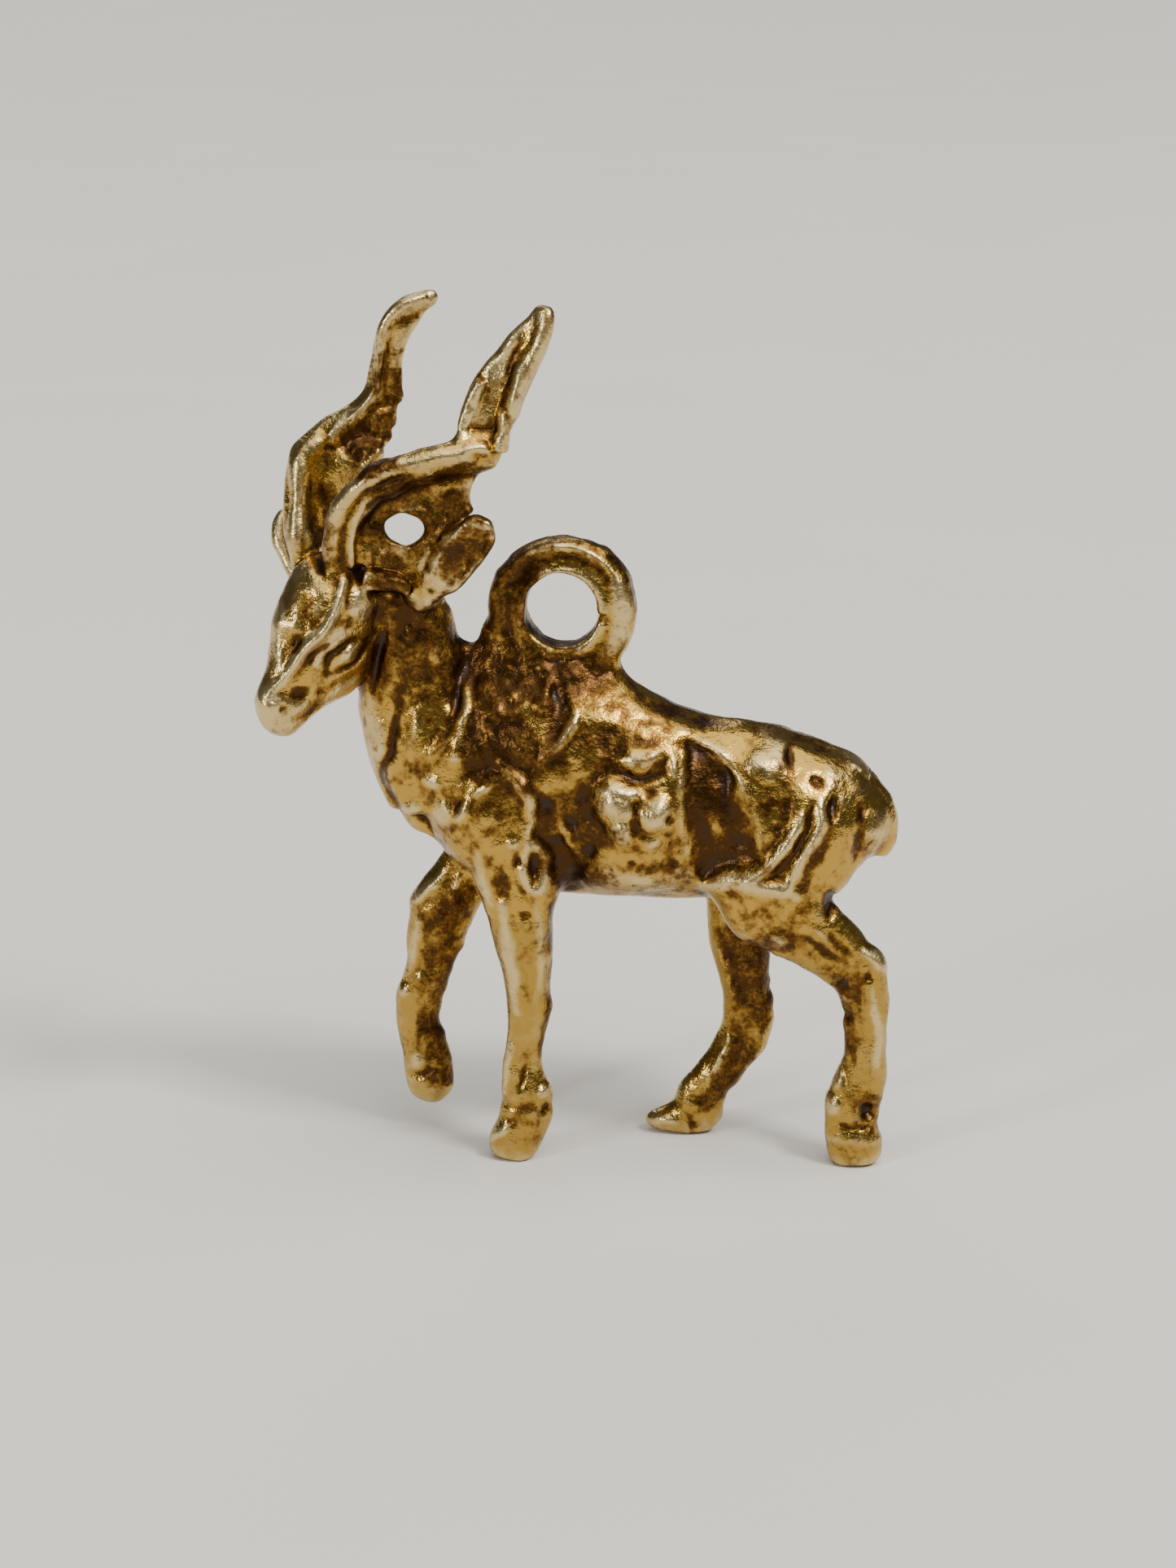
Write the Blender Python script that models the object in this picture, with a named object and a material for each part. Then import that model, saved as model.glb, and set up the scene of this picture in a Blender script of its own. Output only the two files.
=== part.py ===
"""Cast and soldered charm: a walking spiral-horned antelope with a fixed hanging ring on its withers.

Frame: +Z up, the animal faces -X and its left side faces -Y. The origin is the middle of the
bounding box's underside, so the hoofs stand on Z = 0. Shapes are written in millimetres and become
metres as each mesh is made.

How it is made: the trunk is two castings that meet in a seam on the centre plane. The head, the
ring and the four legs are castings with a flat seat and a round peg, soldered into a socket. The
horns, the ears and the tail are shaped to the surface that they stand on, and have a peg too.
"""

import math

import bmesh
import bpy
import numpy as np
from mathutils import Matrix, Vector

MM = 0.001

# Driving dimensions, in millimetres and degrees.
TRACK = 1.2  # from the centre plane to the middle of a leg
SEAM_GAP = 0.04  # width of a soldered seam
PEG_RADIUS = 0.34
PEG_LENGTH = 0.9
SMALL_PEG_RADIUS = 0.2
SMALL_PEG_LENGTH = 0.7
RING_CENTRE = Vector((-0.36, 0.0, 16.5))
RING_OUTER_RADIUS = 2.2
RING_HOLE_RADIUS = 1.05
RING_THICKNESS = 1.25
HEAD_POLL = Vector((-6.75, -1.0, 17.75))
HEAD_YAW = 45.0  # the head is turned this far to the animal's left
HEAD_PITCH = 55.0  # and its nose points this far below level
VOXEL = 0.17  # fineness of the blended casting
KEPT_SHARE = 0.15  # share of the blended casting's faces that is kept

RING_SIDES = 16
JOINT_SIDES = 16
ACROSS = Vector((0.0, 1.0, 0.0))

GOLD = {"colour": (0.72, 0.47, 0.16, 1.0), "metallic": 1.0, "roughness": 0.3}

# Trunk: (x, underside z, back z, half thickness), from the chest to the rump.
TRUNK = (
    (-5.35, 10.4, 11.4, 0.6),
    (-4.8, 9.95, 12.8, 1.3),
    (-4.3, 9.55, 13.5, 1.65),
    (-3.7, 8.8, 14.2, 1.95),
    (-2.4, 8.25, 15.0, 2.2),
    (-1.0, 8.0, 15.0, 2.3),
    (0.5, 7.85, 14.7, 2.25),
    (2.0, 7.75, 13.9, 2.3),
    (3.4, 7.75, 13.42, 2.3),
    (4.6, 7.85, 13.3, 2.15),
    (5.8, 7.85, 13.05, 2.15),
    (7.0, 7.9, 12.65, 2.1),
    (8.1, 8.4, 11.95, 1.75),
    (8.8, 8.9, 11.1, 1.15),
    (9.15, 9.3, 10.4, 0.5),
)

# Everything below: (x, y, z, half depth fore and aft, half thickness across).
NECK = (
    (-3.7, 0.0, 11.1, 1.95, 1.75),
    (-4.25, 0.0, 12.5, 1.92, 1.55),
    (-4.6, 0.0, 13.8, 1.8, 1.4),
    (-4.75, -0.05, 15.0, 1.6, 1.3),
    (-4.95, -0.2, 16.0, 1.5, 1.2),
    (-5.5, -0.45, 16.8, 1.25, 1.1),
    (-6.2, -0.75, 17.3, 1.0, 1.0),
)
SADDLE = (
    (-0.8, 0.0, 12.6, 3.0, 1.9),
    (-0.9, 0.0, 13.7, 2.75, 1.5),
    (-0.95, 0.0, 14.5, 2.5, 1.15),
    (-0.9, 0.0, 15.2, 2.3, 0.85),
    (-0.8, 0.0, 15.75, 2.0, 0.64),
)
LEFT_FORELEG = (
    (-2.05, -1.3, 10.4, 1.5, 0.85),
    (-1.75, -1.4, 9.2, 1.35, 0.85),
    (-1.55, -1.4, 8.2, 1.15, 0.82),
    (-1.44, -1.35, 7.2, 0.98, 0.76),
    (-1.38, -1.3, 6.2, 0.85, 0.68),
    (-1.32, -1.25, 5.2, 0.74, 0.62),
    (-1.3, -TRACK, 4.4, 0.67, 0.58),
    (-1.42, -TRACK, 3.7, 0.55, 0.5),
    (-1.46, -TRACK, 3.0, 0.6, 0.5),
    (-1.38, -TRACK, 2.1, 0.8, 0.6),
    (-1.4, -TRACK, 1.5, 0.8, 0.62),
    (-1.55, -TRACK, 1.0, 0.76, 0.62),
    (-1.75, -TRACK, 0.5, 0.8, 0.66),
    (-1.85, -TRACK, 0.0, 0.72, 0.64),
)
RIGHT_FORELEG = (
    (-2.4, 1.2, 10.0, 1.25, 0.8),
    (-2.85, 1.25, 8.9, 1.0, 0.78),
    (-3.5, 1.25, 7.9, 0.92, 0.72),
    (-4.13, 1.25, 6.95, 1.08, 0.7),
    (-4.25, TRACK, 6.15, 0.96, 0.62),
    (-4.45, TRACK, 5.2, 0.78, 0.55),
    (-4.75, TRACK, 4.25, 0.82, 0.55),
    (-4.8, TRACK, 3.5, 0.78, 0.52),
    (-4.62, TRACK, 2.6, 0.72, 0.5),
    (-4.45, TRACK, 1.9, 0.84, 0.54),
    (-4.5, TRACK, 1.35, 0.78, 0.52),
    (-4.65, TRACK, 0.9, 0.5, 0.42),
)
LEFT_HINDLEG = (
    (5.6, -1.3, 10.4, 1.9, 0.9),
    (5.6, -1.45, 9.0, 1.9, 0.9),
    (5.95, -1.5, 8.0, 1.55, 0.88),
    (6.75, -1.45, 7.35, 1.2, 0.8),
    (7.6, -1.35, 6.7, 1.0, 0.68),
    (8.35, -1.25, 5.95, 0.9, 0.6),
    (8.58, -TRACK, 5.1, 0.74, 0.55),
    (8.56, -TRACK, 4.3, 0.67, 0.5),
    (8.6, -TRACK, 3.5, 0.66, 0.5),
    (8.6, -TRACK, 2.95, 0.75, 0.55),
    (8.42, -TRACK, 2.35, 0.88, 0.6),
    (8.24, -TRACK, 1.75, 0.86, 0.6),
    (8.24, -TRACK, 1.1, 0.88, 0.62),
    (8.35, -TRACK, 0.5, 0.88, 0.66),
    (8.4, -TRACK, 0.0, 0.8, 0.64),
)
RIGHT_HINDLEG = (
    (5.4, 1.2, 9.8, 1.7, 0.85),
    (5.1, 1.35, 8.4, 1.45, 0.85),
    (4.92, 1.35, 7.4, 1.2, 0.78),
    (4.92, 1.3, 6.4, 1.07, 0.7),
    (5.0, TRACK, 5.4, 0.92, 0.6),
    (5.08, TRACK, 4.4, 0.8, 0.55),
    (5.15, TRACK, 3.75, 0.84, 0.54),
    (5.0, TRACK, 3.1, 0.8, 0.52),
    (4.65, TRACK, 2.5, 0.72, 0.5),
    (4.25, TRACK, 1.95, 0.7, 0.52),
    (3.85, TRACK, 1.4, 0.74, 0.55),
    (3.35, TRACK, 0.9, 0.62, 0.56),
)
RIGHT_HIND_HOOF = (
    (4.4, TRACK, 0.85, 0.3, 0.36),
    (3.9, TRACK, 0.6, 0.62, 0.54),
    (3.1, TRACK, 0.46, 0.58, 0.6),
    (2.4, TRACK, 0.4, 0.42, 0.46),
    (1.9, TRACK, 0.42, 0.16, 0.2),
)
# Muscle masses that round out the trunk: (centre, radii).
MASSES = (
    ((-2.2, -1.15, 10.4), (1.7, 1.35, 1.75)),
    ((-2.5, 1.05, 10.4), (1.7, 1.35, 1.75)),
    ((1.6, 0.0, 10.2), (3.0, 2.5, 2.35)),
    ((6.2, -0.95, 10.0), (2.3, 1.45, 2.3)),
    ((6.0, 0.95, 10.0), (2.3, 1.45, 2.3)),
)

# Head: (distance from the poll to the nose, shift towards the forehead, half width, half depth).
HEAD = (
    (-0.35, 0.0, 0.8, 0.75),
    (0.35, 0.0, 1.3, 1.2),
    (1.2, -0.3, 1.42, 1.6),
    (2.0, -0.6, 1.25, 1.8),
    (2.8, -0.6, 1.0, 1.55),
    (3.6, -0.45, 0.78, 1.13),
    (4.2, -0.32, 0.7, 0.92),
    (4.7, -0.24, 0.62, 0.78),
    (5.0, -0.1, 0.34, 0.4),
)

# Horns: (x, y, z, half width of the blade, half thickness, direction that the blade's width runs in).
# Each climbs as a rope, opens into a blade where it turns, and tapers to its tip.
LEFT_HORN = (
    (-6.55, -1.5, 17.5, 0.48, 0.48, (1, 0, 0)),
    (-6.6, -1.75, 18.5, 0.5, 0.48, (1, 0, 0)),
    (-6.4, -2.1, 19.5, 0.52, 0.48, (1, 0, -0.2)),
    (-5.75, -2.35, 20.3, 0.52, 0.47, (1, 0, -0.8)),
    (-4.7, -2.35, 20.8, 0.52, 0.45, (0.3, 0, -1)),
    (-3.5, -2.15, 21.05, 0.56, 0.42, (0.2, 0.2, -1)),
    (-2.6, -1.9, 21.4, 0.74, 0.4, (0.8, 0.3, -1)),
    (-2.4, -1.7, 22.2, 0.86, 0.37, (1, 0.2, -0.1)),
    (-2.05, -1.6, 23.1, 0.82, 0.34, (1, 0, 0.3)),
    (-1.52, -1.55, 23.9, 0.7, 0.31, (1, 0, 0.4)),
    (-1.0, -1.5, 24.7, 0.54, 0.27, (1, 0, 0.4)),
    (-0.68, -1.5, 25.5, 0.38, 0.2, (1, 0, 0.2)),
)
RIGHT_HORN = (
    (-7.75, -0.3, 17.5, 0.5, 0.48, (1, 0, 0)),
    (-7.9, -0.1, 18.5, 0.52, 0.48, (1, 0, 0)),
    (-7.98, 0.15, 19.6, 0.6, 0.48, (1, 0, 0.2)),
    (-7.65, 0.45, 20.6, 0.8, 0.46, (1, 0, -0.8)),
    (-6.75, 0.75, 21.2, 0.95, 0.42, (0.6, 0, -1)),
    (-5.9, 0.9, 21.8, 0.86, 0.38, (1, 0, -0.6)),
    (-5.58, 0.95, 22.6, 0.66, 0.36, (1, 0, 0)),
    (-5.55, 0.95, 23.5, 0.54, 0.33, (1, 0, 0)),
    (-5.3, 0.95, 24.3, 0.54, 0.3, (1, 0, -0.4)),
    (-4.7, 1.0, 25.1, 0.46, 0.27, (0.7, 0, -1)),
    (-3.98, 1.05, 25.45, 0.28, 0.2, (0.5, 0, -1)),
)
# The thin web that closes each horn's first turn: (x, z) outline, the web's y, and its thickness.
LEFT_WEB = {
    "outline": (
        (-6.3, 18.2),
        (-6.2, 19.5),
        (-5.5, 20.2),
        (-4.3, 20.7),
        (-2.6, 21.0),
        (-2.75, 20.2),
        (-2.95, 19.3),
        (-3.6, 18.3),
        (-4.5, 17.5),
    ),
    "y": -1.75,
    "thickness": 0.45,
    "hole": (-4.8, -1.75, 19.1),
    "hole_radii": (0.52, 0.4),
}
RIGHT_WEB = {
    "outline": (
        (-7.7, 18.2),
        (-7.6, 19.6),
        (-7.0, 20.7),
        (-5.9, 21.4),
        (-5.5, 20.9),
        (-6.1, 20.2),
        (-6.65, 19.2),
        (-6.9, 18.1),
    ),
    "y": 0.3,
    "thickness": 0.5,
}
# Ears: (x, y, z, half width, half thickness, direction that the width runs in).
LEFT_EAR = (
    (-4.55, -1.3, 16.95, 0.42, 0.36, (0.8, 0, -0.6)),
    (-4.15, -1.65, 17.4, 0.5, 0.36, (0.8, 0, -0.6)),
    (-3.55, -2.1, 18.05, 0.68, 0.34, (0.8, 0, -0.6)),
    (-3.0, -2.45, 18.7, 0.72, 0.3, (0.8, 0, -0.6)),
    (-2.6, -2.65, 19.2, 0.56, 0.26, (0.8, 0, -0.6)),
    (-2.35, -2.75, 19.6, 0.26, 0.18, (0.8, 0, -0.6)),
)
RIGHT_EAR = (
    (-7.3, 0.1, 16.6, 0.36, 0.34, (1, 1, 0)),
    (-7.7, 0.5, 16.95, 0.45, 0.34, (1, 1, 0)),
    (-8.2, 0.95, 17.5, 0.6, 0.32, (1, 1, 0)),
    (-8.5, 1.3, 18.15, 0.6, 0.3, (1, 1, 0)),
    (-8.6, 1.5, 18.65, 0.46, 0.26, (1, 1, 0)),
    (-8.6, 1.6, 19.05, 0.2, 0.18, (1, 1, 0)),
)
# Tail: it lies down the back of the rump.
TAIL = (
    (8.5, 0.0, 11.45, 0.3, 0.4),
    (8.95, 0.0, 10.9, 0.34, 0.52),
    (9.12, 0.0, 10.25, 0.36, 0.58),
    (9.12, 0.0, 9.65, 0.34, 0.5),
    (8.95, 0.0, 9.15, 0.24, 0.32),
)

# Seats: where a casting ends in a flat seat. Each is (middle, direction from the seat into the
# piece, radius that the cut reaches). The peg points the other way, into the host.
SEATS = {
    "head": (Vector((-5.65, -0.6, 16.35)), Vector((-0.78, -0.42, 0.46)), 2.7),
    "hanging_ring": (Vector((-0.68, 0.0, 15.42)), Vector((0.24, 0.0, 0.97)), 2.5),
    "left_foreleg": (Vector((-1.48, -1.36, 7.6)), Vector((0.0, 0.0, -1.0)), 1.42),
    "right_foreleg": (Vector((-3.78, 1.25, 7.95)), Vector((-0.35, 0.0, -0.94)), 1.42),
    "left_hindleg": (Vector((6.65, -1.42, 7.35)), Vector((0.36, 0.0, -0.93)), 1.66),
    "right_hindleg": (Vector((4.92, 1.34, 7.3)), Vector((0.0, 0.0, -1.0)), 1.34),
}


def clear_scene():
    """Removes every object that the file starts with."""
    for obj in list(bpy.data.objects):
        bpy.data.objects.remove(obj)


def gold_material(name):
    """The one alloy that every casting is made of."""
    material = bpy.data.materials.new(name)
    material.use_nodes = True
    shader = material.node_tree.nodes["Principled BSDF"]
    shader.inputs["Base Color"].default_value = GOLD["colour"]
    shader.inputs["Metallic"].default_value = GOLD["metallic"]
    shader.inputs["Roughness"].default_value = GOLD["roughness"]
    return material


def add_object(name, mesh):
    """Links a mesh to the scene as a named object."""
    obj = bpy.data.objects.new(name, mesh)
    bpy.context.scene.collection.objects.link(obj)
    return obj


def object_from_bmesh(name, bm):
    """Makes an object from a bmesh in millimetres, with its faces pointing out."""
    bmesh.ops.recalc_face_normals(bm, faces=bm.faces)
    bmesh.ops.scale(bm, vec=(MM, MM, MM), verts=bm.verts)
    mesh = bpy.data.meshes.new(name)
    bm.to_mesh(mesh)
    bm.free()
    return add_object(name, mesh)


def bridge_rings(bm, rings):
    """Joins rows of vertices into a closed skin, and caps both ends."""
    for lower, upper in zip(rings, rings[1:]):
        count = len(lower)
        for i in range(count):
            j = (i + 1) % count
            bm.faces.new((lower[i], lower[j], upper[j], upper[i]))
    bm.faces.new(rings[0][::-1])
    bm.faces.new(rings[-1])


def loft(name, sections, sides=RING_SIDES):
    """A closed solid through elliptical sections.

    Each section is (centre, half size a, half size b, direction that b runs in). The direction is
    squared up to the path, and a runs at right angles to both.
    """
    bm = bmesh.new()
    rings = []
    centres = [Vector(section[0]) for section in sections]
    for i, (centre, half_a, half_b, direction) in enumerate(sections):
        before = centres[max(i - 1, 0)]
        after = centres[min(i + 1, len(centres) - 1)]
        tangent = (after - before).normalized()
        b_axis = Vector(direction)
        b_axis = (b_axis - b_axis.dot(tangent) * tangent).normalized()
        a_axis = b_axis.cross(tangent)
        ring = []
        for k in range(sides):
            turn = 2 * math.pi * k / sides
            offset = a_axis * (half_a * math.cos(turn)) + b_axis * (half_b * math.sin(turn))
            ring.append(bm.verts.new(Vector(centre) + offset))
        rings.append(ring)
    bridge_rings(bm, rings)
    return object_from_bmesh(name, bm)


def limb(name, stations):
    """A loft through (x, y, z, half depth, half thickness) stations, thick across the body."""
    return loft(name, [((x, y, z), depth, thick, ACROSS) for x, y, z, depth, thick in stations])


def trunk():
    """The barrel of the body, from its underside, its back and its thickness."""
    sections = []
    for x, low, high, thick in TRUNK:
        sections.append(((x, 0.0, (low + high) / 2), (high - low) / 2, thick, ACROSS))
    return loft("trunk_form", sections)


def mass(centre, radii):
    """An egg-shaped muscle mass."""
    bm = bmesh.new()
    size = Matrix.Diagonal((*radii, 1.0))
    place = Matrix.Translation(centre) @ size
    bmesh.ops.create_uvsphere(bm, u_segments=20, v_segments=12, radius=1.0, matrix=place)
    return object_from_bmesh("mass_form", bm)


def head_axes():
    """(towards the nose, towards the forehead, towards the animal's left cheek)."""
    yaw = math.radians(HEAD_YAW)
    pitch = math.radians(HEAD_PITCH)
    level = Vector((-math.cos(yaw), -math.sin(yaw), 0.0))
    nose = level * math.cos(pitch) - Vector((0.0, 0.0, math.sin(pitch)))
    left = Vector((0.0, 0.0, 1.0)).cross(level)
    return nose, left.cross(nose) * -1.0, left


def skull():
    """The head, from the poll to the muzzle."""
    nose, crown, left = head_axes()
    sections = []
    for along, shift, half_width, half_depth in HEAD:
        centre = HEAD_POLL + nose * along + crown * shift
        sections.append((centre, half_depth, half_width, left))
    return loft("skull_form", sections)


def cylinder(name, start, end, radius, sides=RING_SIDES):
    """A plain round bar between two points."""
    along = (Vector(end) - Vector(start)).normalized()
    side = along.orthogonal()
    return loft(name, [(start, radius, radius, side), (end, radius, radius, side)], sides)


def hanging_ring():
    """The ring: a rounded rectangular section turned about the hole's axis."""
    bm = bmesh.new()
    inner, outer, half = RING_HOLE_RADIUS, RING_OUTER_RADIUS, RING_THICKNESS / 2
    soften = 0.22
    profile = (
        (inner, -half + soften),
        (inner, half - soften),
        (inner + soften, half),
        (outer - soften, half),
        (outer, half - soften),
        (outer, -half + soften),
        (outer - soften, -half),
        (inner + soften, -half),
    )
    count = 40
    rings = []
    for i in range(count):
        turn = 2 * math.pi * i / count
        spoke = Vector((math.cos(turn), 0.0, math.sin(turn)))
        rings.append([bm.verts.new(RING_CENTRE + spoke * r + ACROSS * y) for r, y in profile])
    for ring, following in zip(rings, rings[1:] + rings[:1]):
        for j in range(len(profile)):
            k = (j + 1) % len(profile)
            bm.faces.new((ring[j], ring[k], following[k], following[j]))
    return object_from_bmesh("ring_form", bm)


def plate(name, outline, y, thickness):
    """A flat plate with an (x, z) outline, its thickness across the body."""
    bm = bmesh.new()
    lower = [bm.verts.new((x, y - thickness / 2, z)) for x, z in outline]
    upper = [bm.verts.new((x, y + thickness / 2, z)) for x, z in outline]
    bridge_rings(bm, [lower, upper])
    bmesh.ops.triangulate(bm, faces=[face for face in bm.faces if len(face.verts) > 4])
    return object_from_bmesh(name, bm)


def apply_modifiers(obj):
    """Replaces an object's mesh with what its modifiers make of it."""
    graph = bpy.context.evaluated_depsgraph_get()
    mesh = bpy.data.meshes.new_from_object(obj.evaluated_get(graph))
    obj.modifiers.clear()
    obj.data = mesh


def boolean(obj, other, operation):
    """Applies one exact Boolean, and removes the other object."""
    modifier = obj.modifiers.new(operation.lower(), "BOOLEAN")
    modifier.operation = operation
    modifier.solver = "EXACT"
    modifier.object = other
    apply_modifiers(obj)
    bpy.data.objects.remove(other)


def join(name, objects):
    """One object holding all the given meshes."""
    bm = bmesh.new()
    for obj in objects:
        bm.from_mesh(obj.data)
        bpy.data.objects.remove(obj)
    mesh = bpy.data.meshes.new(name)
    bm.to_mesh(mesh)
    bm.free()
    return add_object(name, mesh)


def blend_forms(name, forms, voxel, kept_share):
    """Melts overlapping forms into one smooth casting, then thins its mesh."""
    obj = join(name, forms)
    remesh = obj.modifiers.new("melt", "REMESH")
    remesh.mode = "VOXEL"
    remesh.voxel_size = voxel * MM
    smooth = obj.modifiers.new("soften", "SMOOTH")
    smooth.factor = 0.5
    smooth.iterations = 4
    thin = obj.modifiers.new("thin", "DECIMATE")
    thin.ratio = kept_share
    apply_modifiers(obj)
    return obj


def seat_cutter(middle, direction, radius):
    """A thin skin in the shape of a flat seat with a round peg below it.

    Cutting with it leaves a peg on the piece that lies along direction, and a socket in its host.
    """
    half = SEAM_GAP / 2
    outer, inner = PEG_RADIUS + half, PEG_RADIUS - half
    profile = (
        (0.0, -PEG_LENGTH - half),
        (outer, -PEG_LENGTH - half),
        (outer, -half),
        (radius, -half),
        (radius, half),
        (inner, half),
        (inner, -PEG_LENGTH + half),
        (0.0, -PEG_LENGTH + half),
    )
    bm = bmesh.new()
    points = [bm.verts.new((r, 0.0, h)) for r, h in profile]
    edges = [bm.edges.new(pair) for pair in zip(points, points[1:])]
    bmesh.ops.spin(
        bm,
        geom=points + edges,
        axis=(0, 0, 1),
        cent=(0, 0, 0),
        steps=JOINT_SIDES,
        angle=2 * math.pi,
    )
    bmesh.ops.remove_doubles(bm, verts=bm.verts, dist=0.001)
    turn = Vector((0, 0, 1)).rotation_difference(direction.normalized()).to_matrix().to_4x4()
    bmesh.ops.transform(bm, matrix=Matrix.Translation(middle) @ turn, verts=bm.verts)
    return object_from_bmesh("seat_cutter", bm)


def islands(mesh):
    """The vertex sets of a mesh's separate bodies."""
    count = len(mesh.vertices)
    label = np.arange(count)
    edges = np.array([edge.vertices[:] for edge in mesh.edges])
    while True:
        lowest = label.copy()
        np.minimum.at(lowest, edges[:, 0], label[edges[:, 1]])
        np.minimum.at(lowest, edges[:, 1], label[edges[:, 0]])
        lowest = lowest[lowest]
        if (lowest == label).all():
            break
        label = lowest
    return [np.flatnonzero(label == root) for root in np.unique(label)]


def keep_vertices(source, kept, name):
    """A new object with only the kept vertices of a mesh."""
    bm = bmesh.new()
    bm.from_mesh(source)
    bm.verts.ensure_lookup_table()
    kept = set(int(i) for i in kept)
    bmesh.ops.delete(bm, geom=[v for v in bm.verts if v.index not in kept], context="VERTS")
    mesh = bpy.data.meshes.new(name)
    bm.to_mesh(mesh)
    bm.free()
    return add_object(name, mesh)


def split_castings(casting):
    """Cuts the seats, then names each body by the seat that it hangs from."""
    for middle, direction, radius in SEATS.values():
        boolean(casting, seat_cutter(middle, direction, radius), "DIFFERENCE")
    mesh = casting.data
    points = np.array([vertex.co for vertex in mesh.vertices]) / MM
    groups = sorted(islands(mesh), key=len, reverse=True)
    trunk_group, pieces = groups[0], groups[1:]
    found = {"trunk": keep_vertices(mesh, trunk_group, "trunk")}
    for name, (middle, direction, _) in SEATS.items():
        inside = np.array(middle + direction * 0.3)
        nearest = min(
            range(len(pieces)),
            key=lambda i: np.linalg.norm(points[pieces[i]] - inside, axis=1).min(),
        )
        found[name] = keep_vertices(mesh, pieces[nearest], name)
    bpy.data.objects.remove(casting)
    return found


def part_halves(obj):
    """Parts the trunk along the centre plane into its two castings."""
    reach = ((-14, 0), (14, 0), (14, 22), (-14, 22))
    boolean(obj, plate("seam", reach, 0.0, SEAM_GAP), "DIFFERENCE")
    points = np.array([vertex.co for vertex in obj.data.vertices])
    groups = sorted(islands(obj.data), key=len)[-2:]
    groups.sort(key=lambda group: points[group, 1].mean())
    names = ("left_body_half", "right_body_half")
    halves = [keep_vertices(obj.data, group, name) for group, name in zip(groups, names)]
    bpy.data.objects.remove(obj)
    return halves


def swollen_copies(objects, amount):
    """One solid over copies of some castings, grown outwards by the width of a seam."""
    copies = [add_object("copy", obj.data.copy()) for obj in objects]
    solid = join("swollen", copies)
    melt = solid.modifiers.new("melt", "REMESH")
    melt.mode = "VOXEL"
    melt.voxel_size = 0.12 * MM
    swell = solid.modifiers.new("swell", "DISPLACE")
    swell.strength = amount * MM
    swell.mid_level = 0.0
    thin = solid.modifiers.new("thin", "DECIMATE")
    thin.ratio = 0.3
    apply_modifiers(solid)
    return solid


def seat_on(piece, hosts, foot, direction):
    """Shapes a piece to the castings that it stands on, and gives it a peg in the first of them."""
    boolean(piece, swollen_copies(hosts, SEAM_GAP), "DIFFERENCE")
    keep_largest(piece)
    direction = Vector(direction).normalized()
    start = Vector(foot) + direction * SMALL_PEG_LENGTH
    end = Vector(foot) - direction * SMALL_PEG_LENGTH
    boolean(piece, cylinder("peg", end, start, SMALL_PEG_RADIUS, 10), "UNION")
    past = end - direction * SEAM_GAP
    socket = SMALL_PEG_RADIUS + SEAM_GAP
    for host in hosts:
        boolean(host, cylinder("socket", past, start, socket, 10), "DIFFERENCE")


def keep_largest(obj):
    """Drops the crumbs that a cut can leave."""
    groups = islands(obj.data)
    if len(groups) == 1:
        return
    biggest = max(groups, key=len)
    kept = keep_vertices(obj.data, biggest, "kept")
    obj.data = kept.data
    bpy.data.objects.remove(kept)


def blade(name, stations):
    """A loft whose sections are blades, each with its own direction."""
    sections = []
    for x, y, z, half_width, half_thickness, direction in stations:
        sections.append(((x, y, z), half_thickness, half_width, direction))
    return loft(name, sections, 12)


def horn(name, stations, web):
    """A horn: its blade, and the thin web in its first turn."""
    web_form = plate(name + "_web", web["outline"], web["y"], web["thickness"])
    horn_form = blend_forms(name, [blade(name + "_blade", stations), web_form], 0.11, 0.16)
    if "hole" in web:
        hole = Vector(web["hole"])
        wide, tall = web["hole_radii"]
        reach = ACROSS * 1.2
        sections = [(hole - reach, wide, tall, (0, 0, 1)), (hole + reach, wide, tall, (0, 0, 1))]
        boolean(horn_form, loft("hole", sections, 10), "DIFFERENCE")
    horn_form.name = name
    return horn_form


def cast_forms():
    """Every form of the blended casting: trunk, neck, head, ring and legs."""
    limbs = (NECK, SADDLE, LEFT_FORELEG, RIGHT_FORELEG, LEFT_HINDLEG, RIGHT_HINDLEG, RIGHT_HIND_HOOF)
    forms = [trunk(), skull(), hanging_ring()]
    forms += [limb("limb_form", stations) for stations in limbs]
    forms += [mass(centre, radii) for centre, radii in MASSES]
    return forms


def flatten_soles(obj):
    """Grinds the hoofs flat on the ground plane."""
    floor = cylinder("floor", (3.3, 0.0, -3.0), (3.3, 0.0, 0.03), 12.0, 24)
    boolean(obj, floor, "DIFFERENCE")


def set_origin(objects):
    """Moves every mesh so that the origin is the middle of the bounding box's underside."""
    corners = []
    for obj in objects:
        points = np.array([vertex.co for vertex in obj.data.vertices])
        corners.append((points.min(axis=0), points.max(axis=0)))
    low = np.min([corner[0] for corner in corners], axis=0)
    high = np.max([corner[1] for corner in corners], axis=0)
    shift = Vector((-(low[0] + high[0]) / 2, -(low[1] + high[1]) / 2, -low[2]))
    for obj in objects:
        obj.data.transform(Matrix.Translation(shift))


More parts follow.
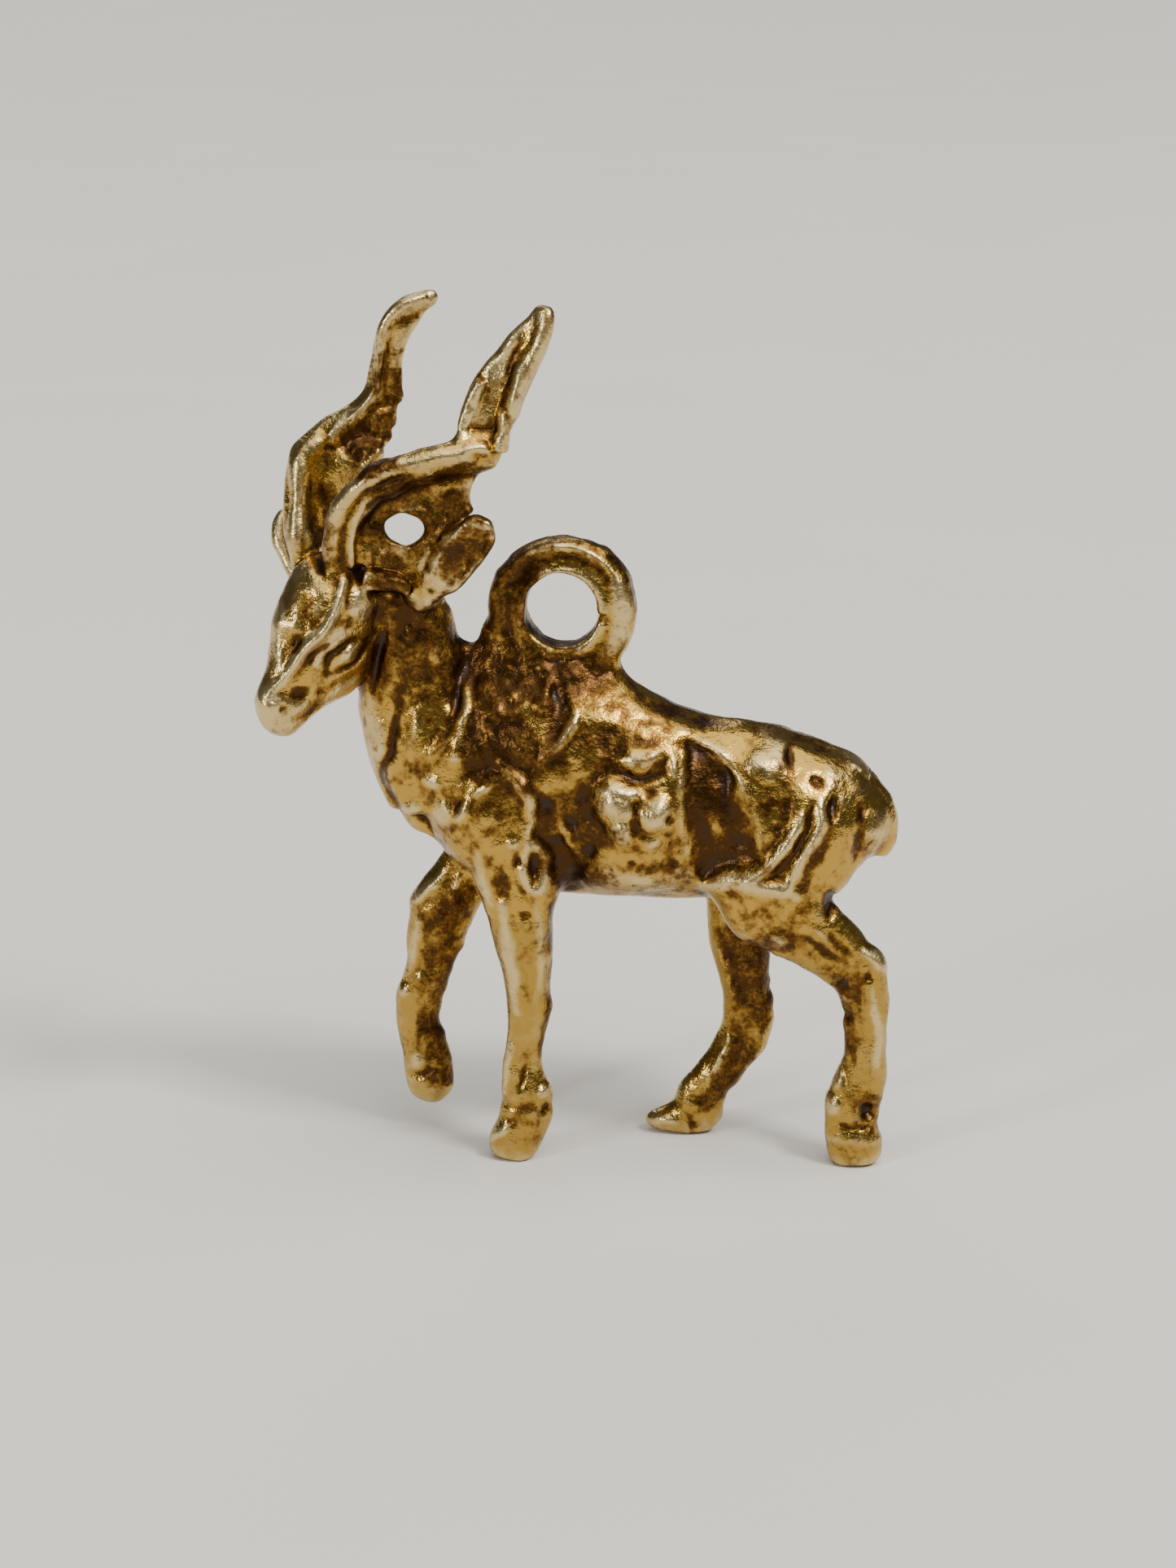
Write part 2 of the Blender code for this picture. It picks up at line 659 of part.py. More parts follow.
def main():
    """Builds every casting as its own named object."""
    clear_scene()
    casting = blend_forms("casting", cast_forms(), VOXEL, KEPT_SHARE)
    hole = (RING_CENTRE - ACROSS * 3, RING_CENTRE + ACROSS * 3)
    boolean(casting, cylinder("ring_hole", *hole, RING_HOLE_RADIUS, 32), "DIFFERENCE")
    flatten_soles(casting)
    pieces = split_castings(casting)

    left_horn = horn("left_horn", LEFT_HORN, LEFT_WEB)
    right_horn = horn("right_horn", RIGHT_HORN, RIGHT_WEB)
    left_ear = blade("left_ear", LEFT_EAR)
    right_ear = blade("right_ear", RIGHT_EAR)
    tail = limb("tail", TAIL)
    head, body = pieces["head"], pieces["trunk"]
    seat_on(left_horn, [head], (-6.6, -1.55, 18.1), (0, -0.2, 1))
    seat_on(right_horn, [head, left_horn], (-7.8, -0.25, 18.1), (0, 0.2, 1))
    seat_on(left_ear, [head, body, left_horn], (-4.7, -1.2, 16.8), (0.6, -0.5, 0.6))
    seat_on(right_ear, [head, body, right_horn], (-7.6, 0.3, 17.2), (-0.5, 0.6, 0.4))
    seat_on(tail, [body], (8.7, 0.0, 10.2), (1, 0, 0.1))

    halves = part_halves(body)
    castings = [obj for name, obj in pieces.items() if name != "trunk"]
    castings += halves + [left_horn, right_horn, left_ear, right_ear, tail]
    gold = gold_material("gold_alloy")
    for obj in castings:
        keep_largest(obj)
        obj.data.materials.clear()
        obj.data.materials.append(gold)
        obj.data.shade_smooth()
        obj.data.set_sharp_from_angle(angle=math.radians(50))
    set_origin(castings)


main()
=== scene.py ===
"""A small gold charm: a walking antelope with two spiral horns and a hanging ring on its withers.

The charm is worked as one block of casting wax, a fine lattice of distances, on which threads,
pads and hollows are laid. The block is then parted into the thirteen castings of the frame.
Sizes in the classes are millimetres; meshes are handed over in metres.
"""

import logging
import math
from dataclasses import dataclass, field, replace
from enum import Enum
from typing import ClassVar

import bpy
import numpy as np
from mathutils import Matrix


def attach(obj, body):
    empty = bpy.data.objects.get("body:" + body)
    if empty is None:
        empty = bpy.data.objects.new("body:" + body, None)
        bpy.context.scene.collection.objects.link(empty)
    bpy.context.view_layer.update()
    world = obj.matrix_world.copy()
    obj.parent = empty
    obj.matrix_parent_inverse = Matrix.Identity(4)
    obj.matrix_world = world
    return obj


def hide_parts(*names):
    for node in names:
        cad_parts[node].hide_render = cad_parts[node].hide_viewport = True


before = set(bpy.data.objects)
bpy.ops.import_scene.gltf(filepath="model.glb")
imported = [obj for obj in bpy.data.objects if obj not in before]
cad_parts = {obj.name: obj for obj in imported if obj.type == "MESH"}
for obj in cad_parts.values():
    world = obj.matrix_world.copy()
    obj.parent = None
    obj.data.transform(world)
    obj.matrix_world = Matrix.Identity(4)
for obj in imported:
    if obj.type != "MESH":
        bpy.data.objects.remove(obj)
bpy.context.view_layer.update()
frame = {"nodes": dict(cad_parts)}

import openvdb
from mathutils import Vector

MM = 0.001
Point2 = tuple[float, float]
Point3 = tuple[float, float, float]
Colour = tuple[float, float, float, float]
Window = tuple[slice, ...]
# Keeps a reading just inside the last cell of a lattice.
EDGE = 1.001
# The draw that makes blended lumps reach about 1.
LUMP_DRAW = 2.4
log = logging.getLogger("charm")


def stand(name: str, data: bpy.types.ID) -> bpy.types.Object:
    """A new object in the scene, at the origin.

    Args:
        name: Its name.
        data: Its mesh, light or camera.

    Returns:
        The object.
    """
    made = bpy.data.objects.new(name, data)
    bpy.context.scene.collection.objects.link(made)
    return made


# ---------------------------------------------------------------- wax tools


class Tool(Enum):
    """The ways in which wax is laid on or taken off a side of the charm."""

    THREAD = "a thread laid along a path, or a groove cut along it"
    PAD = "an oval pad pressed on, or an oval hollow"
    AREA = "a whole patch raised or sunk, with a soft edge"


@dataclass(frozen=True)
class Touch:
    """One touch of a tool on a side of the charm, placed in side elevation.

    path is in (x, z); reach is the half width, or both half widths of an oval, or the soft edge
    of an area; height is positive for wax laid on; stain and pale are amounts of tarnish and of
    worn gold that go with it; turn leans an oval, in degrees.
    """

    tool: Tool
    path: tuple[Point2, ...]
    reach: Point2
    height: float
    stain: float = 0.0
    pale: float = 0.0
    turn: float = 0.0


def thread(path: tuple[Point2, ...], width: float, height: float, stain: float = 0.0, pale: float = 0.0) -> Touch:
    """A thread of wax, or a groove, of this half width."""
    return Touch(Tool.THREAD, path, (width, width), height, stain, pale)


def pad(
    centre: Point2, reach: Point2, height: float, stain: float = 0.0, pale: float = 0.0, turn: float = 0.0
) -> Touch:
    """An oval pad or hollow."""
    return Touch(Tool.PAD, (centre,), reach, height, stain, pale, turn)


def area(outline: tuple[Point2, ...], edge: float, height: float, stain: float = 0.0, pale: float = 0.0) -> Touch:
    """A patch raised or sunk, inside an outline."""
    return Touch(Tool.AREA, outline, (edge, edge), height, stain, pale)


def arc(centre: Point2, radius: float, start: float, end: float, steps: int = 10) -> tuple[Point2, ...]:
    """Points on an arc.

    Args:
        centre: Its middle, in (x, z).
        radius: Its radius.
        start: First angle in degrees, from +X towards +Z.
        end: Last angle in degrees.
        steps: How many spans it is cut into.

    Returns:
        The points, first to last.
    """
    angles = np.radians(np.linspace(start, end, steps + 1))
    return tuple((centre[0] + radius * math.cos(a), centre[1] + radius * math.sin(a)) for a in angles)


def eased(path: np.ndarray, spans: int = 6) -> np.ndarray:
    """A smooth curve through the points of a path.

    Args:
        path: The points, one a row.
        spans: How many steps each stretch is cut into.

    Returns:
        The curve's points, with both ends kept.
    """
    if len(path) < 3:
        return path
    padded = np.vstack([2 * path[0] - path[1], path, 2 * path[-1] - path[-2]])
    out = []
    for i in range(len(path) - 1):
        a, b, c, d = padded[i : i + 4]
        bend, pull = 2 * a - 5 * b + 4 * c - d, 3 * b - a - 3 * c + d
        for t in np.linspace(0, 1, spans, endpoint=False):
            out.append(0.5 * (2 * b + (c - a) * t + bend * t**2 + pull * t**3))
    out.append(path[-1])
    return np.array(out)


def smoothstep(low: float, high: float, value: np.ndarray) -> np.ndarray:
    """A soft step from 0 at low to 1 at high."""
    t = np.clip((value - low) / (high - low), 0.0, 1.0)
    return t * t * (3 - 2 * t)


def soften(block: np.ndarray, passes: int) -> None:
    """Smooths a lattice in place.

    Args:
        block: The lattice.
        passes: How many times it is smoothed, each spreading it by 0.7 of a cell.
    """
    for _ in range(passes):
        for axis in range(block.ndim):
            turned = np.moveaxis(block, axis, 0)
            turned[1:-1] = (turned[:-2] + 2 * turned[1:-1] + turned[2:]) / 4


def rolling(shape: tuple[int, ...], cell: float, seed: int) -> np.ndarray:
    """Smooth random lumps.

    Args:
        shape: The lattice's cells.
        cell: The size of a lump, in cells.
        seed: The seed of the draw.

    Returns:
        A lattice of values around 0, about 1 at the largest.
    """
    draw = np.random.default_rng(seed)
    block = draw.uniform(-LUMP_DRAW, LUMP_DRAW, [int(n / cell) + 5 for n in shape]).astype(np.float32)
    for axis, count in enumerate(shape):
        place = np.arange(count) / cell
        base = place.astype(int)
        t = (place - base).astype(np.float32)
        weights = ((1 - t) ** 3, 3 * t**3 - 6 * t**2 + 4, -3 * t**3 + 3 * t**2 + 3 * t + 1, t**3)
        turned = np.moveaxis(block, axis, 0)
        tail = (1,) * (turned.ndim - 1)
        mixed = sum(w.reshape(-1, *tail) / 6 * turned[base + k] for k, w in enumerate(weights))
        block = np.moveaxis(mixed, 0, axis)
    return np.ascontiguousarray(block, np.float32)


@dataclass
class Lattice:
    """The cells that the wax is held in, with some room round the charm."""

    cell: float = 0.061
    room: float = 0.9
    low: np.ndarray = field(default_factory=lambda: np.zeros(3, int))
    shape: tuple[int, int, int] = (1, 1, 1)

    def span(self, low: np.ndarray, high: np.ndarray) -> None:
        """Makes room for a box, in millimetres."""
        self.low = np.floor((low - self.room) / self.cell).astype(int)
        self.shape = tuple(int(n) for n in np.ceil((high + self.room) / self.cell).astype(int) - self.low + 1)

    def places(self, axis: int) -> np.ndarray:
        """The cells' places along one axis, in millimetres."""
        return ((self.low[axis] + np.arange(self.shape[axis])) * self.cell).astype(np.float32)

    def window(self, low: np.ndarray, high: np.ndarray) -> Window:
        """The cells of a smaller box, with room round it.

        Args:
            low: The box's lowest corner, in millimetres.
            high: Its highest corner.

        Returns:
            The cells along each axis.
        """
        first = np.maximum(np.floor((low - self.room) / self.cell).astype(int) - self.low, 0)
        last = np.minimum(np.ceil((high + self.room) / self.cell).astype(int) - self.low + 1, self.shape)
        return tuple(slice(int(a), int(b)) for a, b in zip(first, last))

    def distances(self, points: np.ndarray, faces: np.ndarray, window: Window, band: float) -> np.ndarray:
        """Signed distances to a closed mesh.

        Args:
            points: Its points, in millimetres.
            faces: Its triangles.
            window: The cells wanted.
            band: How far from the surface the distances go.

        Returns:
            The distances, negative inside.
        """
        transform = openvdb.createLinearTransform(voxelSize=self.cell)
        grid = openvdb.FloatGrid.createLevelSetFromPolygons(
            np.ascontiguousarray(points, np.float32),
            triangles=np.ascontiguousarray(faces, np.uint32),
            transform=transform,
            halfWidth=band / self.cell,
        )
        block = np.empty([w.stop - w.start for w in window], np.float32)
        grid.copyToArray(block, ijk=tuple(int(self.low[i] + window[i].start) for i in range(3)))
        return block

    def skin(self, block: np.ndarray, window: Window) -> tuple[np.ndarray, np.ndarray]:
        """The surface where a lattice passes through 0.

        Args:
            block: The distances.
            window: The cells that they fill.

        Returns:
            Points in millimetres, and four-sided faces turned outwards.
        """
        grid = openvdb.FloatGrid(float(block.max()))
        start = tuple(int(self.low[i] + window[i].start) for i in range(3))
        grid.copyFromArray(np.ascontiguousarray(block), ijk=start)
        grid.transform = openvdb.createLinearTransform(voxelSize=self.cell)
        points, quads = grid.convertToQuads(0.0)
        return points.astype(np.float64), quads.astype(np.int64)

    def read(self, block: np.ndarray, points: np.ndarray, step: int = 1) -> np.ndarray:
        """Values of a lattice at points in millimetres, blended between cells.

        Args:
            block: A lattice over all the cells, or over every step-th one.
            points: Where to read it.
            step: The spacing of the lattice, in cells.

        Returns:
            One value a point.
        """
        place = (points / self.cell - self.low) / step
        place = np.clip(place, 0, np.array(block.shape) - EDGE)
        base = place.astype(int)
        part = place - base
        out = np.zeros(len(points))
        for i in (0, 1):
            for j in (0, 1):
                for k in (0, 1):
                    weight = np.ones(len(points))
                    for axis, on in enumerate((i, j, k)):
                        weight = weight * (part[:, axis] if on else 1 - part[:, axis])
                    out += weight * block[base[:, 0] + i, base[:, 1] + j, base[:, 2] + k]
        return out


# How a touch falls away to its edge: the powers of a pad's and a thread's crown.
PAD_CROWN, THREAD_CROWN = 1.6, 1.8
# An open thread's width at its ends, over its full width, how quickly it swells, and the
# stretch of it that swells.
THREAD_END, THREAD_SWELL, SWELLS = 0.45, 0.7, (0.04, 0.96)
# A thread whose ends are nearer than this is a closed one.
CLOSED_GAP = 0.2
# How far past a touch's reach the cells are worked.
MARGIN = 0.1
# How much of the tarnish a worn touch rubs off.
RUBBED_OFF = 0.6
# How edges wander when a side is weathered: the size of a lump, and how far it moves them.
WANDERS = ((0.6, 0.055), (0.22, 0.03))
# Tarnish in patches: the patches' size, their middle and swing, and the least and most.
PATCH_SIZE, PATCH_MIDDLE, PATCH_SWING, PATCH_LIMITS = 0.45, 0.95, 0.3, (0.45, 1.25)


@dataclass
class SideRelief:
    """The relief and the tarnish of one side of the charm, in side elevation."""

    x: np.ndarray
    z: np.ndarray
    height: np.ndarray = field(init=False)
    stain: np.ndarray = field(init=False)
    pale: np.ndarray = field(init=False)

    def __post_init__(self) -> None:
        """Starts with a plain side."""
        size = (len(self.x), len(self.z))
        self.height, self.stain, self.pale = (np.zeros(size, np.float32) for _ in range(3))

    def press(self, touch: Touch) -> None:
        """Works one touch into the side.

        Args:
            touch: The touch to work in.
        """
        path = np.array(touch.path, float)
        reach = np.array(touch.reach)
        margin = max(reach) + MARGIN
        spans = []
        for places, points in ((self.x, path[:, 0]), (self.z, path[:, 1])):
            inside = np.flatnonzero((places > points.min() - margin) & (places < points.max() + margin))
            if not len(inside):
                return
            spans.append(slice(inside[0], inside[-1] + 1))
        window = tuple(spans)
        grid = np.stack(np.meshgrid(self.x[window[0]], self.z[window[1]], indexing="ij"), -1)
        if touch.tool is Tool.PAD:
            lean = math.radians(touch.turn)
            across = grid - path[0]
            along = across @ np.array([math.cos(lean), math.sin(lean)]) / reach[0]
            up = across @ np.array([-math.sin(lean), math.cos(lean)]) / reach[1]
            shape = np.clip(1 - along**2 - up**2, 0, 1) ** PAD_CROWN
        elif touch.tool is Tool.THREAD:
            line = eased(path)
            away, share = self._away(grid, line)
            swell = 1.0
            if np.linalg.norm(path[0] - path[-1]) > CLOSED_GAP:
                rise = np.sin(np.pi * np.clip(share, *SWELLS)) ** THREAD_SWELL
                swell = THREAD_END + (1 - THREAD_END) * rise
            shape = np.clip(1 - (away / (reach[0] * swell)) ** 2, 0, 1) ** THREAD_CROWN * swell
        else:
            ring = np.vstack([path, path[:1]])
            away, _ = self._away(grid, ring)
            inside = np.zeros(away.shape, bool)
            for a, b in zip(ring[:-1], ring[1:]):
                crosses = (a[1] > grid[..., 1]) != (b[1] > grid[..., 1])
                rise = b[1] - a[1] if b[1] != a[1] else 1e-9
                inside ^= crosses & (grid[..., 0] < a[0] + (grid[..., 1] - a[1]) * (b[0] - a[0]) / rise)
            shape = smoothstep(-reach[0] / 2, reach[0] / 2, np.where(inside, away, -away))
        self.height[window] += touch.height * shape
        for layer, amount in ((self.stain, touch.stain), (self.pale, touch.pale)):
            layer[window] = 1 - (1 - layer[window]) * (1 - amount * np.sqrt(shape))
        if touch.pale:
            self.stain[window] *= 1 - RUBBED_OFF * touch.pale * shape

    def weather(self, seed: int) -> None:
        """Breaks up the touches' clean edges, as casting and wear do.

        Args:
            seed: The first of the seeds that it draws with.
        """
        cell = self.x[1] - self.x[0]
        size = self.height.shape
        moved = []
        for axis, place in enumerate(np.meshgrid(np.arange(size[0]), np.arange(size[1]), indexing="ij")):
            slip = sum(
                far * rolling(size, lump / cell, seed + 2 * number + axis)
                for number, (lump, far) in enumerate(WANDERS)
            )
            moved.append(np.clip(place + slip / cell, 0, size[axis] - EDGE))
        i, k = moved
        a, b = i.astype(int), k.astype(int)
        u, v = i - a, k - b
        for layer in (self.height, self.stain, self.pale):
            low = layer[a, b] * (1 - v) + layer[a, b + 1] * v
            high = layer[a + 1, b] * (1 - v) + layer[a + 1, b + 1] * v
            layer[...] = low * (1 - u) + high * u
            soften(layer, 1)
        patchy = PATCH_MIDDLE + PATCH_SWING * rolling(size, PATCH_SIZE / cell, seed + 2 * len(WANDERS))
        self.stain *= np.clip(patchy, *PATCH_LIMITS)

    @staticmethod
    def _away(grid: np.ndarray, path: np.ndarray) -> tuple[np.ndarray, np.ndarray]:
        """Distance from each cell to the nearest stretch of a path.

        Args:
            grid: The cells' places.
            path: The path's points.

        Returns:
            One distance a cell, and how far along the path its nearest point is, from 0 to 1.
        """
        best = np.full(grid.shape[:-1], 1e9)
        along = np.zeros(grid.shape[:-1])
        for number, (a, b) in enumerate(zip(path[:-1], path[1:])):
            run = b - a
            share = np.clip(((grid - a) @ run) / max(run @ run, 1e-12), 0, 1)
            away = np.linalg.norm(grid - a - share[..., None] * run, axis=-1)
            along = np.where(away < best, (number + share) / (len(path) - 1), along)
            best = np.minimum(best, away)
        return best, along


# ---------------------------------------------------------------- ridges, swept along paths


@dataclass(frozen=True)
class Ridge:
    """A thread of wax swept along a path in space.

    girths are the half widths at the path's points; flatness is the section's height over its
    width; twist is how far the section turns from end to end, in turns; keel is how far its
    flanks fall away from its crest.
    """

    path: tuple[Point3, ...]
    girths: tuple[float, ...]
    flatness: float = 1.0
    twist: float = 0.0
    keel: float = 0.0


class RidgeSweep:
    """The node tree that sweeps a section along a path."""

    eased_spans: int = 8
    steps_a_point: int = 3
    least_steps: int = 24

    def __init__(self) -> None:
        """Builds the tree once."""
        self.tree = bpy.data.node_groups.new("ridge_sweep", "GeometryNodeTree")
        face = self.tree.interface
        face.new_socket("Path", in_out="INPUT", socket_type="NodeSocketGeometry")
        self.sockets: dict[str, str] = {}
        for label, kind, default in (
            ("Steps", "NodeSocketInt", 60),
            ("Corners", "NodeSocketInt", 16),
            ("Flatness", "NodeSocketFloat", 1.0),
            ("Turns", "NodeSocketFloat", 0.0),
            ("Keel", "NodeSocketFloat", 0.0),
            ("Finish", "NodeSocketMaterial", None),
        ):
            socket = face.new_socket(label, in_out="INPUT", socket_type=kind)
            if default is not None:
                socket.default_value = default
            self.sockets[label] = socket.identifier
        face.new_socket("Ridge", in_out="OUTPUT", socket_type="NodeSocketGeometry")
        self._fill()

    def _fill(self) -> None:
        """Lays the nodes out and joins them."""
        nodes, links = self.tree.nodes, self.tree.links

        def node(kind: str, **settings: object) -> bpy.types.Node:
            """Adds a node.

            Args:
                kind: The node's type.
                settings: The node's own settings.

            Returns:
                The node.
            """
            made = nodes.new(kind)
            for name, value in settings.items():
                setattr(made, name, value)
            return made

        given = node("NodeGroupInput")
        result = node("NodeGroupOutput")
        path = node("GeometryNodeMeshToCurve")
        even = node("GeometryNodeResampleCurve")
        girth = node("GeometryNodeInputNamedAttribute", data_type="FLOAT")
        girth.inputs["Name"].default_value = "girth"
        along = node("GeometryNodeSplineParameter")
        turns, angle, sharp, flat = (node("ShaderNodeMath", operation="MULTIPLY") for _ in range(4))
        angle.inputs[1].default_value = math.tau
        lean = node("GeometryNodeSetCurveTilt")
        ring = node("GeometryNodeCurvePrimitiveCircle")
        ring.inputs["Radius"].default_value = 1.0
        where = node("GeometryNodeInputPosition")
        split = node("ShaderNodeSeparateXYZ")
        lift = node("ShaderNodeMath", operation="ABSOLUTE")
        taller = node("ShaderNodeMath", operation="SUBTRACT")
        join = node("ShaderNodeCombineXYZ")
        shape = node("GeometryNodeSetPosition")
        sweep = node("GeometryNodeCurveToMesh")
        sweep.inputs["Fill Caps"].default_value = True
        real = node("GeometryNodeRealizeInstances")
        dress = node("GeometryNodeSetMaterial")
        for source, out, target, into in (
            (given, "Path", path, "Mesh"),
            (path, "Curve", even, "Curve"),
            (given, "Steps", even, "Count"),
            (along, "Factor", turns, 0),
            (given, "Turns", turns, 1),
            (turns, 0, angle, 0),
            (even, "Curve", lean, "Curve"),
            (angle, 0, lean, "Tilt"),
            (given, "Corners", ring, "Resolution"),
            (where, 0, split, 0),
            (split, "X", lift, 0),
            (lift, 0, sharp, 0),
            (given, "Keel", sharp, 1),
            (split, "Y", taller, 0),
            (sharp, 0, taller, 1),
            (taller, 0, flat, 0),
            (given, "Flatness", flat, 1),
            (split, "X", join, "X"),
            (flat, 0, join, "Y"),
            (ring, "Curve", shape, "Geometry"),
            (join, 0, shape, "Position"),
            (lean, "Curve", sweep, "Curve"),
            (shape, "Geometry", sweep, "Profile Curve"),
            (girth, "Attribute", sweep, "Scale"),
            (sweep, "Mesh", real, "Geometry"),
            (real, "Geometry", dress, "Geometry"),
            (given, "Finish", dress, "Material"),
            (dress, "Geometry", result, "Ridge"),
        ):
            links.new(source.outputs[out], target.inputs[into])

    def sweep(self, name: str, ridge: Ridge) -> tuple[np.ndarray, np.ndarray]:
        """Sweeps one ridge.

        Args:
            name: A name for the working object.
            ridge: What to sweep.

        Returns:
            Points in millimetres and triangles of the closed ridge.
        """
        line = eased(np.column_stack([np.array(ridge.path), np.array(ridge.girths)]), self.eased_spans)
        mesh = bpy.data.meshes.new(name)
        mesh.from_pydata(line[:, :3].tolist(), [(i, i + 1) for i in range(len(line) - 1)], [])
        mesh.attributes.new("girth", "FLOAT", "POINT").data.foreach_set("value", line[:, 3].astype(np.float32))
        holder = stand(name, mesh)
        modifier = holder.modifiers.new("sweep", "NODES")
        modifier.node_group = self.tree
        modifier[self.sockets["Steps"]] = max(self.least_steps, self.steps_a_point * len(line))
        modifier[self.sockets["Flatness"]] = ridge.flatness
        modifier[self.sockets["Turns"]] = ridge.twist
        modifier[self.sockets["Keel"]] = ridge.keel
        graph = bpy.context.evaluated_depsgraph_get()
        graph.update()
        made = bpy.data.meshes.new_from_object(holder.evaluated_get(graph))
        points, faces = triangles(made)
        bpy.data.objects.remove(holder)
        bpy.data.meshes.remove(made)
        bpy.data.meshes.remove(mesh)
        return points, faces


def triangles(mesh: bpy.types.Mesh) -> tuple[np.ndarray, np.ndarray]:
    """The points and triangles of a mesh, with points nearer than a millionth of its size made one.

    Args:
        mesh: The mesh to read.

    Returns:
        Points, in the mesh's own unit, and triangles.
    """
    mesh.calc_loop_triangles()
    points = np.empty(len(mesh.vertices) * 3, np.float32)
    mesh.vertices.foreach_get("co", points)
    faces = np.empty(len(mesh.loop_triangles) * 3, np.int32)
    mesh.loop_triangles.foreach_get("vertices", faces)
    points = points.reshape(-1, 3).astype(np.float64)
    step = np.ptp(points, axis=0).max() * 1e-6
    rounded = np.round(points / step).astype(np.int64)
    _, first, same = np.unique(rounded, axis=0, return_index=True, return_inverse=True)
    return points[first], same.reshape(-1)[faces.reshape(-1, 3)]


# ---------------------------------------------------------------- finishes


class Layer(Enum):
    """The values that each piece carries at its points for its finish."""

    CREST = "crest"
    STAIN = "stain"
    PALE = "pale"


class Grain(Enum):
    """The noises of the old gold: lumps a metre, layers of finer lumps, and their strength."""

    BLOTCH = (1100.0, 3.0, 0.6)
    MOTTLE = (3600.0, 3.0, 0.6)
    SPECK = (9000.0, 2.0, 0.7)
    TURN = (1900.0, 2.0, 0.6)


@dataclass
class NodeBench:
    """A material while its node tree is being put together."""

    material: bpy.types.Material

    @classmethod
    def open(cls, name: str) -> "NodeBench":
        """A bench with a new, empty material on it.

        Args:
            name: The material's name.

        Returns:
            The bench.
        """
        material = bpy.data.materials.new(name)
        material.use_nodes = True
        material.node_tree.nodes.clear()
        return cls(material)

    def close(self, feeds: dict[object, object]) -> bpy.types.Material:
        """Ends the tree with its shader.

        Args:
            feeds: What each of the shader's inputs is given.

        Returns:
            The whole material.
        """
        shader = self.add("ShaderNodeBsdfPrincipled", feeds)
        self.add("ShaderNodeOutputMaterial", {"Surface": shader.outputs[0]})
        return self.material

    def add(self, kind: str, feeds: dict[object, object], **settings: object) -> bpy.types.Node:
        """Adds a node.

        Args:
            kind: The node's type.
            feeds: What each input is given: a value, or another node's output.
            settings: The node's own settings.

        Returns:
            The node.
        """
        tree = self.material.node_tree
        made = tree.nodes.new(kind)
        for name, value in settings.items():
            setattr(made, name, value)
        for socket, value in feeds.items():
            if isinstance(value, bpy.types.NodeSocket):
                tree.links.new(value, made.inputs[socket])
            else:
                made.inputs[socket].default_value = value
        return made

    def sum(self, kind: str, a: object, b: object, c: object = 0.0) -> bpy.types.NodeSocket:
        """The result of one sum on one to three numbers."""
        return self.add("ShaderNodeMath", {0: a, 1: b, 2: c}, operation=kind).outputs[0]

    def weighed(self, start: object, *terms: tuple[object, float]) -> bpy.types.NodeSocket:
        """A start value with each term added to it at its weight.

        Args:
            start: The value to start from.
            terms: Each value and its weight.

        Returns:
            The total.
        """
        for value, weight in terms:
            start = self.sum("MULTIPLY_ADD", value, weight, start)
        return start

    def step(self, value: object, low: float, high: float) -> bpy.types.NodeSocket:
        """A soft step from 0 at low to 1 at high."""
        feeds = {"Value": value, "From Min": low, "From Max": high}
        return self.add("ShaderNodeMapRange", feeds, interpolation_type="SMOOTHSTEP").outputs[0]

    def blend(self, share: object, a: object, b: object) -> bpy.types.NodeSocket:
        """One colour turning into another."""
        return self.add("ShaderNodeMix", {0: share, 6: a, 7: b}, data_type="RGBA").outputs[2]

    def layer(self, which: Layer) -> bpy.types.NodeSocket:
        """A value that the piece carries at its points."""
        return self.add("ShaderNodeAttribute", {}, attribute_name=which.value).outputs["Fac"]

    def grain(self, scale: float, detail: float = 2.0, rough: float = 0.5) -> bpy.types.NodeSocket:
        """Even noise, fixed to the piece.

        Args:
            scale: How many lumps there are to a metre.
            detail: How many layers of finer lumps it has.
            rough: How strong each finer layer is.

        Returns:
            The noise, around a half.
        """
        place = self.add("ShaderNodeTexCoord", {}).outputs["Object"]
        feeds = {"Vector": place, "Scale": scale, "Detail": detail, "Roughness": rough}
        return self.add("ShaderNodeTexNoise", feeds).outputs[0]


